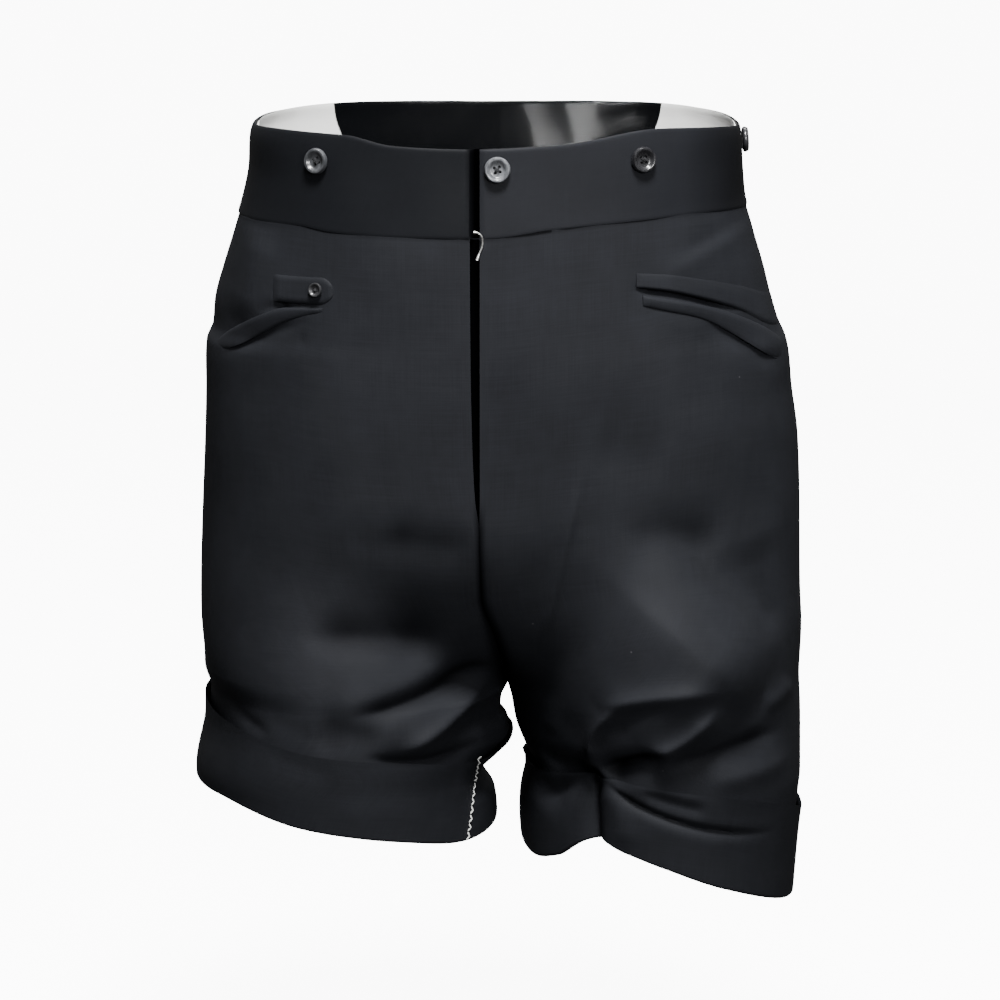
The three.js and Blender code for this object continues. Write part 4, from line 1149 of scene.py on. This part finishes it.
# %% The three bands
underlap_end = float(turn_of_x(UNDERLAP_LEFT, 0))
BANDS = {
    "waistband_right": (-2 + 1e-9, underlap_end, 230, right_lift, (False, True), shaded_band_cloth),
    "waistband_left": (tab_end - 0.012, 2 - 1e-9, 190, left_lift, (False, False), band_cloth),
    "waistband_tab": (1e-6, tab_end, 34, tab_lift, (True, False), band_cloth),
}
for node, (start, end, columns, lift, ends, cloth) in BANDS.items():
    turns = np.linspace(start, end, columns + 1)
    outer, inner = band(turns, waist_seam, band_top, lift, BAND, roll_ends=ends)
    shade = slit_shade(outer) if node == "waistband_right" else None
    piece = shell(f"cloth_{node}", outer, inner, cloth, shade)
    sewn(piece, node, outer)
    print(node, [round(v, 3) for v in cuts[piece.name]])

# %% [markdown]
# ## Lining and underlap
#
# Inside the back of the waist lies black satin, and pale cotton lines the
# sides. They show above the lower front edge. Satin is soft: it has ripples
# down its length, and at the top it ends in a narrow piped edge. The underlap
# is the strip behind the open fly: without it one would look right through.

# %% Linings
LINING = 1.0
SATIN_END = (1.7, 1.535)  # turn at the lower and the upper edge
COTTON_START = 0.95
LINING_LAP = 2 * GAP / 110  # turn by which the cotton runs on past the satin's end


def lining_low(turn):
    return waist_seam(turn) - 16


def lining_high(turn):
    return band_top(turn) + 1


def satin_lift(points, turn):
    ripple = 0.35 * np.sin(points[..., 0] / 7.5 + points[..., 2] / 30)
    ripple += 0.16 * np.sin(points[..., 2] / 2.4 - points[..., 0] / 6) * smooth(50, 80, points[..., 0])
    return -CLOTH - 2 * GAP + np.minimum(ripple, 0.1) - 0.5 + uneven(points, 30, 0.12, 3)


def cotton_lift(points, turn):
    return -CLOTH - 2 * GAP + uneven(points, 24, 0.1, 4)


def between(a, b, columns):
    """Turns from one slanted end to another, at the lower and the upper edge."""
    return np.stack([np.linspace(a[0], b[0], columns + 1), np.linspace(a[1], b[1], columns + 1)])


cotton_end = [end + LINING_LAP for end in SATIN_END]
LININGS = {
    "back": (SATIN_END, (2 - 1e-9,) * 2, satin_lift, satin, "back_lining_satin"),
    "side": ((COTTON_START,) * 2, cotton_end, cotton_lift, cotton, "side_lining_cotton"),
}
satin_only = bpy.data.collections.new("satin_only")
for half in HALVES:
    for name, (start, end, lift, material, slot) in LININGS.items():
        turns = SIGN[half] * between(start, end, 60)
        outer, inner = band(turns, lining_low, lining_high, lift, LINING, rows=30)
        piece = shell(f"lining_{name}_{half}_sewn", outer, inner, material)
        sewn(piece, f"lining_{name}_{half}", inner)
        if material is satin:
            satin_only.objects.link(piece)
        print(piece.name, [round(v, 3) for v in cuts[piece.name]])

# %% A small lamp that is seen in the satin alone
satin_lamp = lamp("lamp_satin", (-0.72, -1.70, -0.34), 15, 0.07, aim=Vector((0.06, 0.09, 0)))
satin_lamp.light_linking.receiver_collection = satin_only
satin_lamp.light_linking.blocker_collection = satin_only

# %% The strip behind the fly
FLY_END = -222
UNDERLAP_X = (-31, 15)
UNDERLAP_BEHIND = 7.5
underlap_z = np.linspace(float(waist_seam(0.0)) - 2 * GAP, FLY_END, 90)[:, None]
underlap_x = np.linspace(*UNDERLAP_X, 26)[None, :]
points, normals = on_form(turn_of_x(underlap_x, underlap_z * np.ones_like(underlap_x)), underlap_z)
outer = points + normals * (uneven(points, 40, 0.15, 5) - UNDERLAP_BEHIND)[..., None]
# the underlap is painted black all over: painted shade, as in the slit
piece = shell("cloth_fly_underlap", outer, outer - CLOTH * normals, body_cloth, 1.0)
sewn(piece, "fly_underlap", outer)
print(piece.name, [round(v, 3) for v in cuts[piece.name]])

# %% [markdown]
# ## Pockets
#
# The pockets' mouths slant down to the side seams. On the left a welt and a
# facing make its lips. The right one has a narrow welt and a small buttoned tab
# with a round end. They lie on the panel, so they are made from its own points,
# moved out, and each has a soft crown that falls to its stitched edges.


# %% Places on a front, with its folds
def share_by_halving(left, sign, x, z, highest):
    """The share where the plain surface is at x, found by halving the range again and again."""
    low, high = np.full(np.shape(z), 1e-6), np.full(np.shape(z), highest)
    for _ in range(26):
        middle = (low + high) / 2
        inside = sign * (section(left, False, middle, z)[..., 0] - x) < 0
        low, high = np.where(inside, middle, low), np.where(inside, high, middle)
    return low


def on_front(x, z):
    """Points and directions of the finished front at flat places (x, z)."""
    x, z = np.broadcast_arrays(np.asarray(x, float), np.asarray(z, float))
    sign = np.where(x < float(centre_front(-100)), -1, 1)
    share = share_by_halving(sign > 0, sign, x, z, 1 - 1e-6)
    points, normals = on_form(sign * share, z)
    rise = all_folds(sign > 0, np.zeros(x.shape, bool), points, normals)
    return points + normals * rise[..., None], normals


# %% The pockets' lips
POCKET_WALL = 0.6  # how far a pocket piece reaches into the panel under it
WELT_RIGHT = table(
    "x top bottom",
    (-108, -77.6, -80.4), (-116, -78.0, -82.4), (-132, -79.0, -87.6), (-146, -84.5, -95.8),
    (-160, -92.5, -104.5), (-176, -104.0, -111.8),
)
WELT_LEFT = table(
    "x top bottom",
    (86.5, -69.6, -76.0), (100, -72.2, -79.6), (122, -77.4, -85.8), (135, -81.6, -92.2),
    (151, -89.0, -102.8), (168, -99.6, -114.6), (174.5, -104.0, -118.6),
)
FACING_LEFT = table(
    "x top bottom",
    (82.5, -56.0, -64.8), (100, -57.6, -67.4), (122, -62.0, -73.4), (144, -67.6, -82.0),
    (166, -77.8, -95.8), (178, -84.0, -103.0),
)


def lip(node, rows, columns, crown, peak):
    """A pocket piece whose crown is highest at a share of its width. Its side end sinks in."""
    x = np.linspace(rows["x"][0], rows["x"][-1], columns + 1)[None, :]
    t = np.linspace(0, 1, 15)[:, None]
    z = lerp(curve(rows, "top")(x), curve(rows, "bottom")(x), t)
    points, normals = on_front(x * np.ones_like(z), z)
    skewed = np.where(t < peak, t / peak / 2, 0.5 + (t - peak) / (1 - peak) / 2)
    from_middle = np.abs(x)
    ends = smooth(0, 5, from_middle - from_middle.min())
    sunk = 1 - smooth(0, 14, from_middle.max() - from_middle)
    height = 0.1 + crown * np.sin(math.pi * skewed) ** 0.6 * lerp(0.5, 1, ends) - 1.2 * sunk
    outer = points + normals * height[..., None]
    piece = shell(f"cloth_{node}", outer, points - POCKET_WALL * normals, body_cloth)
    sewn(piece, node, outer)
    print(piece.name, [round(v, 3) for v in cuts[piece.name]])


lip("pocket_welt_left", WELT_LEFT, 110, crown=1.5, peak=0.3)
lip("pocket_facing_left", FACING_LEFT, 100, crown=1.0, peak=0.85)
lip("pocket_welt_right", WELT_RIGHT, 90, crown=1.1, peak=0.3)

# %% The small tab on the right pocket
TAB = {"outer": -138, "inner": -101.5, "middle": -67.3, "width": 16.4, "crown": 1.1, "edge": 3.0}
tab_radius = TAB["width"] / 2
tab_centre = TAB["inner"] - tab_radius
tab_x = np.concatenate([
    np.linspace(TAB["outer"], tab_centre, 34),
    tab_centre + tab_radius * 0.995 * np.sin(np.linspace(0, math.pi / 2, 22)[1:]),
])[None, :]
tab_past = np.clip((tab_x - tab_centre) / tab_radius, 0, 1)
tab_half = tab_radius * np.sqrt(1 - tab_past**2)
tab_across = np.linspace(1, -1, 17)[:, None]
tab_z = TAB["middle"] + tab_across * tab_half
points, normals = on_front(tab_x * np.ones_like(tab_z), tab_z)
from_edge = np.minimum(tab_half - np.abs(tab_across * tab_half), TAB["inner"] - tab_x)
tab_crown = TAB["crown"] * np.sqrt(np.clip(from_edge / TAB["edge"], 0, 1))
tab_height = 0.15 + tab_crown * smooth(0, 6, tab_x - TAB["outer"] + 2)
outer = points + normals * tab_height[..., None]
piece = shell("cloth_pocket_tab_right", outer, points - POCKET_WALL * normals, body_cloth)
sewn(piece, "pocket_tab_right", outer)
print(piece.name, [round(v, 3) for v in cuts[piece.name]])

# %% [markdown]
# ## Cuffs
#
# Each hem is turned up outside the leg. A cuff is one long strip that goes
# round the leg: a wall outside, a rounded fold at the bottom and a short return
# inside. The left one is pinched by a tack, and its slack breaks into folds
# that run out from it. The wall stands off the leg at its top edge.

# %% The cuffs' cross-section, swept round the leg
SEAM_TOP = (-17.8, -366.0)  # the right cuff's seam in front, x and z
SEAM_LOW = (-23.4, -417.5)
FOLDS_PASSED_ON = {"right": 0.15, "left": 1.0}
SEAM_SLACK = {"right": 0.5, "left": GAP / 2}  # how far its front end stands off the other
FOLD_RADIUS = (CUFF_EASE + 2 * CLOTH) / 2
FOLD_MIDDLE = CUFF_EASE + CLOTH - FOLD_RADIUS
CUFF_ROWS = 40
HOLLOW_SHARE = 0.7  # how much of a trough the stiff, doubled cloth of a cuff takes


def cuff_rows():
    """A cuff's closed outline from its top edge down the outside and up again, one row each.

    Columns: the row's share of the way from hem to top, its offset from there, its lift
    and its share of slack.
    """
    down = np.linspace(0, 1, CUFF_ROWS)
    bend = np.linspace(0, math.pi, 11)[1:-1]
    still = 0 * down
    outside = np.stack([1 - down, lerp(0, FOLD_RADIUS, down), still + CUFF_EASE + CLOTH, 1 - down], -1)
    fold_low, fold_out = FOLD_RADIUS * (1 - np.sin(bend)), FOLD_MIDDLE + FOLD_RADIUS * np.cos(bend)
    fold = np.stack([0 * bend, fold_low, fold_out, 0 * bend], -1)
    inside = np.stack([down, lerp(CLOTH + 0.4, -3.0, down), still + CUFF_EASE, down], -1)
    top = [(1, -1.1, CUFF_EASE + CLOTH / 2, 1)]
    return np.concatenate([outside, fold, inside, top])[:, :, None]


def cuff_seam(half, z):
    """Where a cuff's two ends meet: on the inner leg seam, or on a slanting line in front of it."""
    if half == "left":
        return np.full(np.shape(z), 1e-7)
    x = lerp(SEAM_TOP[0], SEAM_LOW[0], (z - SEAM_TOP[1]) / (SEAM_LOW[1] - SEAM_TOP[1]))
    return share_by_halving(False, SIGN[half], x, z, 0.5)


def round_the_leg(half, columns, up, offset):
    """Where a cuff's points lie on their way round: 0 at the inner leg seam, 1 at the side seam."""
    near = np.full((1, 1), 0.12 if half == "right" else 1e-7)
    start = cuff_seam(half, lerp(hem_z[half](near), cuff_top_z[half](near), up) + offset)
    front = np.linspace(0, 1, columns // 2)[None, :]
    behind = np.linspace(1, 2, columns // 2)[None, 1:-1]
    ends = np.linspace(0, 1, columns // 12)[None, :] if half == "right" else np.ones((1, 1))
    parts = [lerp(start, 1, front), 0 * start + behind, lerp(1e-7, start, ends)]
    return np.concatenate(parts, axis=1)


def cuff(half, columns):
    """Points of a cuff, once round the leg from its seam and back to it."""
    up, offset, lift, slack = np.moveaxis(cuff_rows(), 1, 0)
    away = round_the_leg(half, columns, up, offset)
    share = np.where(away > 1, 2 - away, away)
    z = lerp(hem_z[half](away), cuff_top_z[half](away), up) + offset
    turn = SIGN[half] * np.clip(away, 1e-7, 2 - 1e-7)
    points, normals = on_form(turn, z)
    left, back, _ = quadrant(turn)
    folds = all_folds(left, back, points, normals)
    own = all_folds(left, back, points, normals, cuff=True) - folds
    own *= np.where(own < 0, HOLLOW_SHARE, 1)
    height = lift + slack * cuff_slack[half](share) + FOLDS_PASSED_ON[half] * folds + own
    return points + normals * height[..., None]


# %% The two cuffs
def strip(name, grid, material):
    """A closed outline swept along a line, with its two ends closed."""
    around, along = grid.shape[:2]
    index = np.arange(around * along).reshape(around, along)
    after = np.roll(index, -1, axis=0)
    sides = np.stack([index[:, :-1], after[:, :-1], after[:, 1:], index[:, 1:]], -1).reshape(-1, 4)
    half_way = around // 2
    caps = []
    for end, turned in ((0, False), (-1, True)):
        ring = index[:, end]
        quads = [(ring[k], ring[k + 1], ring[-k - 2], ring[-k - 1]) for k in range(half_way - 1)]
        caps += [quad[::-1] if turned else quad for quad in quads]
    points = grid.reshape(-1, 3)
    faces = np.concatenate([sides, np.array(caps)])
    if volume(points, faces) < 0:
        faces = faces[:, ::-1]
    uv = np.stack(measured(grid), -1).reshape(-1, 2)
    return cloth_object(name, points, faces.tolist(), uv, material)


for half in HALVES:
    grid = cuff(half, 330)
    for end, other, back_off in ((0, 1, SEAM_SLACK[half]), (-1, -2, GAP / 2)):
        step = grid[:, other] - grid[:, end]
        length = np.linalg.norm(step, axis=-1, keepdims=True)
        grid[:, end] += step * np.minimum(back_off / length, 0.9)
    piece = strip(f"cloth_cuff_{half}", grid, body_cloth)
    sewn(piece, f"cuff_{half}", grid[: CUFF_ROWS + 9])
    print(piece.name, [round(v, 3) for v in cuts[piece.name]])

# %% [markdown]
# ## Buttons
#
# The buttons are turned from horn: a thick rim, a dished middle and four holes.
# A lathe shape is a profile spun about an axis, so it is made as rings of
# points. The holes are cut with a boolean, once, and the finished mesh serves
# every button at its own size. The thread crosses between the holes.


# %% A turned disc of radius 1, lying flat
BUTTON_SIDES = 64
BUTTON = [
    (0, 0.06), (0.72, 0.02), (0.9, 0.06), (0.985, 0.14), (1.0, 0.24), (0.975, 0.33),
    (0.9, 0.48), (0.8, 0.49), (0.7, 0.45), (0.6, 0.23), (0.5, 0.2), (0, 0.2),
]  # radius and height, from the middle of the back to the middle of the face


def ring(radius, height, sides, x=0.0, y=0.0, first=0.0):
    """Points round an upright axis at (x, y), from the angle of the first one."""
    angles = [first + 2 * math.pi * k / sides for k in range(sides)]
    return [(x + radius * math.cos(a), y + radius * math.sin(a), height) for a in angles]


def turned(name, profile, sides):
    """A closed lathe shape whose profile starts and ends on its axis."""
    points = [(0, 0, profile[0][1])]
    for radius, height in profile[1:-1]:
        points += ring(radius, height, sides)
    points.append((0, 0, profile[-1][1]))
    last, rings = len(points) - 1, len(profile) - 2
    faces = []
    for k in range(sides):
        n = (k + 1) % sides
        faces.append((0, 1 + n, 1 + k))
        for i in range(rings - 1):
            a, b = 1 + i * sides, 1 + (i + 1) * sides
            faces.append((a + k, a + n, b + n, b + k))
        faces.append((last, 1 + (rings - 1) * sides + k, 1 + (rings - 1) * sides + n))
    mesh = bpy.data.meshes.new(name)
    mesh.from_pydata(points, [], faces)
    return in_scene(name, mesh)


# %% Its four holes
HOLE_OUT = 0.27  # from the middle of the button to the middle of a hole
HOLE_RADIUS = 0.115
HOLE_SIDES = 16


def applied(obj):
    """The plain mesh that an object's modifiers or its curve give. The object itself goes."""
    bpy.context.view_layer.update()
    graph = bpy.context.evaluated_depsgraph_get()
    mesh = bpy.data.meshes.new_from_object(obj.evaluated_get(graph))
    bpy.data.objects.remove(obj)
    return mesh


def drill(x, y):
    """A round bar through the button at (x, y)."""
    low, high = (ring(HOLE_RADIUS, height, HOLE_SIDES, x, y) for height in (-0.5, 1.0))
    ends = [tuple(range(HOLE_SIDES))[::-1], tuple(range(HOLE_SIDES, 2 * HOLE_SIDES))]
    after = [(i + 1) % HOLE_SIDES for i in range(HOLE_SIDES)]
    sides = [(i, after[i], HOLE_SIDES + after[i], HOLE_SIDES + i) for i in range(HOLE_SIDES)]
    mesh = bpy.data.meshes.new("drill")
    mesh.from_pydata(low + high, [], ends + sides)
    return in_scene("drill", mesh)


disc = turned("button_blank", BUTTON, BUTTON_SIDES)
drills = [drill(x, y) for x, y, _ in ring(HOLE_OUT, 0, 4, first=math.pi / 4)]
for bar in drills:
    cut = disc.modifiers.new("hole", "BOOLEAN")
    cut.operation = "DIFFERENCE"
    cut.solver = "EXACT"
    cut.object = bar
blank = applied(disc)
for bar in drills:
    bpy.data.objects.remove(bar)
print("button mesh faces:", len(blank.polygons))


# %% Sewing the buttons on
def against(normal, tilt):
    """A turn that lays a disc against the cloth, tilted in its own plane."""
    z_axis = Vector(normal).normalized()
    x_axis = Vector((0, 0, 1)).cross(z_axis).normalized()
    y_axis = z_axis.cross(x_axis)
    turn = Matrix((x_axis, y_axis, z_axis)).transposed()
    return turn.to_4x4() @ Matrix.Rotation(tilt, 4, "Z")


def sew_button(node, at, normal, diameter, material, slot, tilt):
    """A button at its node's place. Returns its seat, for the thread."""
    radius = diameter / 2 * MM
    to_place = Matrix.Translation(Vector(at) * MM) @ against(normal, tilt)
    mesh = blank.copy()
    mesh.transform(to_place @ Matrix.Diagonal((radius, radius, radius, 1)))
    mesh.materials.clear()
    mesh.materials.append(material)
    for polygon in mesh.polygons:
        polygon.use_smooth = True
    mesh.set_sharp_from_angle(angle=math.radians(50))
    mesh.name = f"horn_{node}"
    piece = in_scene(mesh.name, mesh)
    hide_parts(node)
    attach(piece, "root")
    return to_place, radius


def at_band(turn, z):
    """A place just off the band, and the direction outwards."""
    points, normals = on_form(np.array([turn]), np.array([z]))
    return points[0] + normals[0] * (BAND_PROUD + 0.15 + GAP), normals[0]


def at_band_x(x, z):
    return at_band(float(turn_of_x(x, z)), z)


def at_pocket(x, z, out):
    points, normals = on_front(np.array([x]), np.array([z]))
    return points[0] + out * normals[0], normals[0]


BRACE_BUTTON, POCKET_BUTTON = 16, 9  # diameters
BUTTONS = {
    "button_centre": (*at_band_x(-2, 8), BRACE_BUTTON, grey_horn, "grey_button", 0.2),
    "button_brace_right": (*at_band_x(-110.8, 11), BRACE_BUTTON, shaded_grey_horn, "grey_button", 0.5),
    "button_brace_left": (*at_band_x(85.9, 12.5), BRACE_BUTTON, dark_horn, "dark_button", 0.1),
    "button_side_right": (*at_band(-1.3, 12), BRACE_BUTTON, dark_horn, "dark_button", 0.3),
    "button_side_left": (*at_band(1.04, 14), BRACE_BUTTON, dark_horn, "dark_button", 0.0),
    "button_pocket": (*at_pocket(-111.6, -66.8, 1.9), POCKET_BUTTON, deeply_shaded_grey_horn, "grey_button", 0.4),
}
seats = {node: sew_button(node, *values) for node, values in BUTTONS.items()}
print("buttons:", len(seats))


# %% Round cords: the buttons' threads, and later the hook
def cord(name, lines, thickness, material, ends=1.0):
    """Round cord along lines of points in metres, as one plain mesh."""
    path = bpy.data.curves.new(name, "CURVE")
    path.dimensions = "3D"
    path.bevel_depth = thickness / 2 * MM
    path.bevel_resolution = 2
    path.use_fill_caps = True
    for line in lines:
        spline = path.splines.new("BEZIER")
        spline.bezier_points.add(len(line) - 1)
        for knot, place in zip(spline.bezier_points, line):
            knot.co = Vector(place)
            knot.handle_left_type = knot.handle_right_type = "AUTO"
        spline.bezier_points[0].radius = ends
        spline.bezier_points[-1].radius = ends
    mesh = applied(in_scene(name, path))
    mesh.materials.clear()
    mesh.materials.append(material)
    mesh.name = name
    piece = in_scene(name, mesh)
    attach(piece, "root")
    return piece


THREAD = 0.45
STRAND_APART = 0.035  # two strands lie side by side, here in radii of the button
CROSS = [(-0.19, 0.02), (-0.114, 0.27), (0, 0.31), (0.114, 0.27), (0.19, 0.02)]  # from hole to hole
for node, (seat, radius) in seats.items():
    strands = []
    for shift in (-STRAND_APART, STRAND_APART):
        one = [(off + shift, off - shift, height) for off, height in CROSS]
        two = [(off + shift, shift - off, height + 0.05) for off, height in CROSS]
        strands += [[seat @ (Vector(p) * radius) for p in line] for line in (one, two)]
    cord(f"thread_{node}", strands, THREAD, black_thread)
print("threads:", len(seats))

# %% [markdown]
# ## Hook, stitches and threads
#
# Stitches repeat along a line, so Geometry Nodes make them: one tree takes a
# line, spaces points on it and lays a short bent bead of thread on each. Its
# inputs are the stitch's length, spacing and thickness. The result is made a
# plain mesh, because an exported model has no instances and no modifiers.


# %% One tree for every row of stitches
STITCH_SIZES = {"Spacing": 0.003, "Length": 0.002, "Thickness": 0.0003, "Slant": 0.0}  # metres, radians


def zigzag(tree, slant):
    """A turn along the line, leaning one way and the other in turn."""
    tangent = add(tree, "GeometryNodeInputTangent").outputs[0]
    along = add(tree, "FunctionNodeAlignRotationToVector", {"Vector": tangent}, axis="Z").outputs[0]
    parity = maths(tree, "MODULO", add(tree, "GeometryNodeInputIndex").outputs[0], 2.0)
    way = maths(tree, "MULTIPLY_ADD", parity, -2.0, 1.0)
    tip = add(tree, "ShaderNodeCombineXYZ", {1: maths(tree, "MULTIPLY", way, slant)}).outputs[0]
    lean = add(tree, "FunctionNodeEulerToRotation", {0: tip}).outputs[0]
    both = {"Rotation": along, "Rotate By": lean}
    return add(tree, "FunctionNodeRotateRotation", both, rotation_space="GLOBAL").outputs[0]


def stitch_tree(material):
    tree = bpy.data.node_groups.new("stitches", "GeometryNodeTree")
    sockets = tree.interface
    sockets.new_socket("Geometry", in_out="INPUT", socket_type="NodeSocketGeometry")
    for label, value in STITCH_SIZES.items():
        sockets.new_socket(label, in_out="INPUT", socket_type="NodeSocketFloat").default_value = value
    sockets.new_socket("Geometry", in_out="OUTPUT", socket_type="NodeSocketGeometry")
    put, out = add(tree, "NodeGroupInput"), add(tree, "NodeGroupOutput")
    line = add(tree, "GeometryNodeMeshToCurve", {"Mesh": put.outputs["Geometry"]}).outputs[0]
    steps = {"Curve": line, "Length": put.outputs["Spacing"]}
    spaced = add(tree, "GeometryNodeResampleCurve", steps, mode="LENGTH").outputs[0]
    bead = add(tree, "GeometryNodeMeshUVSphere", {"Segments": 6, "Rings": 5, "Radius": 0.5}).outputs[0]
    thick, long = put.outputs["Thickness"], put.outputs["Length"]
    size = add(tree, "ShaderNodeCombineXYZ", {0: thick, 1: thick, 2: long}).outputs[0]
    beads = add(tree, "GeometryNodeInstanceOnPoints", {
        "Points": spaced, "Instance": bead, "Rotation": zigzag(tree, put.outputs["Slant"]), "Scale": size,
    }).outputs[0]
    real = add(tree, "GeometryNodeRealizeInstances", {0: beads}).outputs[0]
    finish = add(tree, "GeometryNodeSetMaterial", {"Geometry": real, "Material": material})
    tree.links.new(finish.outputs[0], out.inputs[0])
    return tree


def stitches(name, lines, material, slot, **sizes):
    """Rows of stitches along lines of points in millimetres, as one plain mesh."""
    points, edges = [], []
    for line in lines:
        start = len(points)
        points += [tuple(p) for p in np.asarray(line) * MM]
        edges += [(start + i, start + i + 1) for i in range(len(line) - 1)]
    mesh = bpy.data.meshes.new(f"{name}_line")
    mesh.from_pydata(points, edges, [])
    guide = in_scene(f"{name}_line", mesh)
    work = guide.modifiers.new("stitches", "NODES")
    work.node_group = stitch_tree(material)
    for item in work.node_group.interface.items_tree:
        if item.in_out == "INPUT" and item.name in sizes:
            work[item.identifier] = float(sizes[item.name])
    done = applied(guide)
    done.name = name
    piece = in_scene(name, done)
    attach(piece, "root")
    print(name, "faces:", len(done.polygons))


# %% The white overlocked edge on the right cuff
OVERLOCK_Z = (-365.5, -417.5)  # where it starts and ends
BESIDE_SEAM = 0.006  # how much turn it lies beside the seam


def overlock_line(half):
    """Points down the outside of a cuff, beside its seam in front."""
    z = np.linspace(*OVERLOCK_Z, 90)
    share = cuff_seam(half, z) - BESIDE_SEAM
    top, hem = cuff_top_z[half](share), hem_z[half](share)
    slack = cuff_slack[half](share) * (z - hem) / (top - hem)
    points, normals = on_form(SIGN[half] * share, z)
    rise = FOLDS_PASSED_ON[half] * all_folds(half == "left", False, points, normals, cuff=True)
    rise += CUFF_EASE + CLOTH + slack + 0.2
    return points + normals * rise[:, None]


stitches(
    "stitches_overlock", [overlock_line("right")], white_thread, "side_lining_cotton",
    Spacing=0.0026, Length=0.0042, Thickness=0.0010, Slant=0.6,
)

# %% The hook at the top of the fly
HOOK = table(
    "order x z out",
    (0, -16.3, -29.5, 2.4), (1, -13.6, -30.0, 2.4), (2, -11.6, -31.8, 2.0), (3, -10.9, -35.2, 1.2),
    (4, -11.3, -38.8, 0.8), (5, -12.8, -42.4, 0.6), (6, -14.2, -46.4, 0.8),
)
points, normals = on_form(turn_of_x(HOOK["x"], HOOK["z"]), HOOK["z"])
WIRE = 1.05
hook_path = (points + normals * (1.2 + HOOK["out"])[:, None]) * MM
hook = cord("wire_hook", [hook_path], WIRE, wire_metal, ends=2.0)
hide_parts("hook")
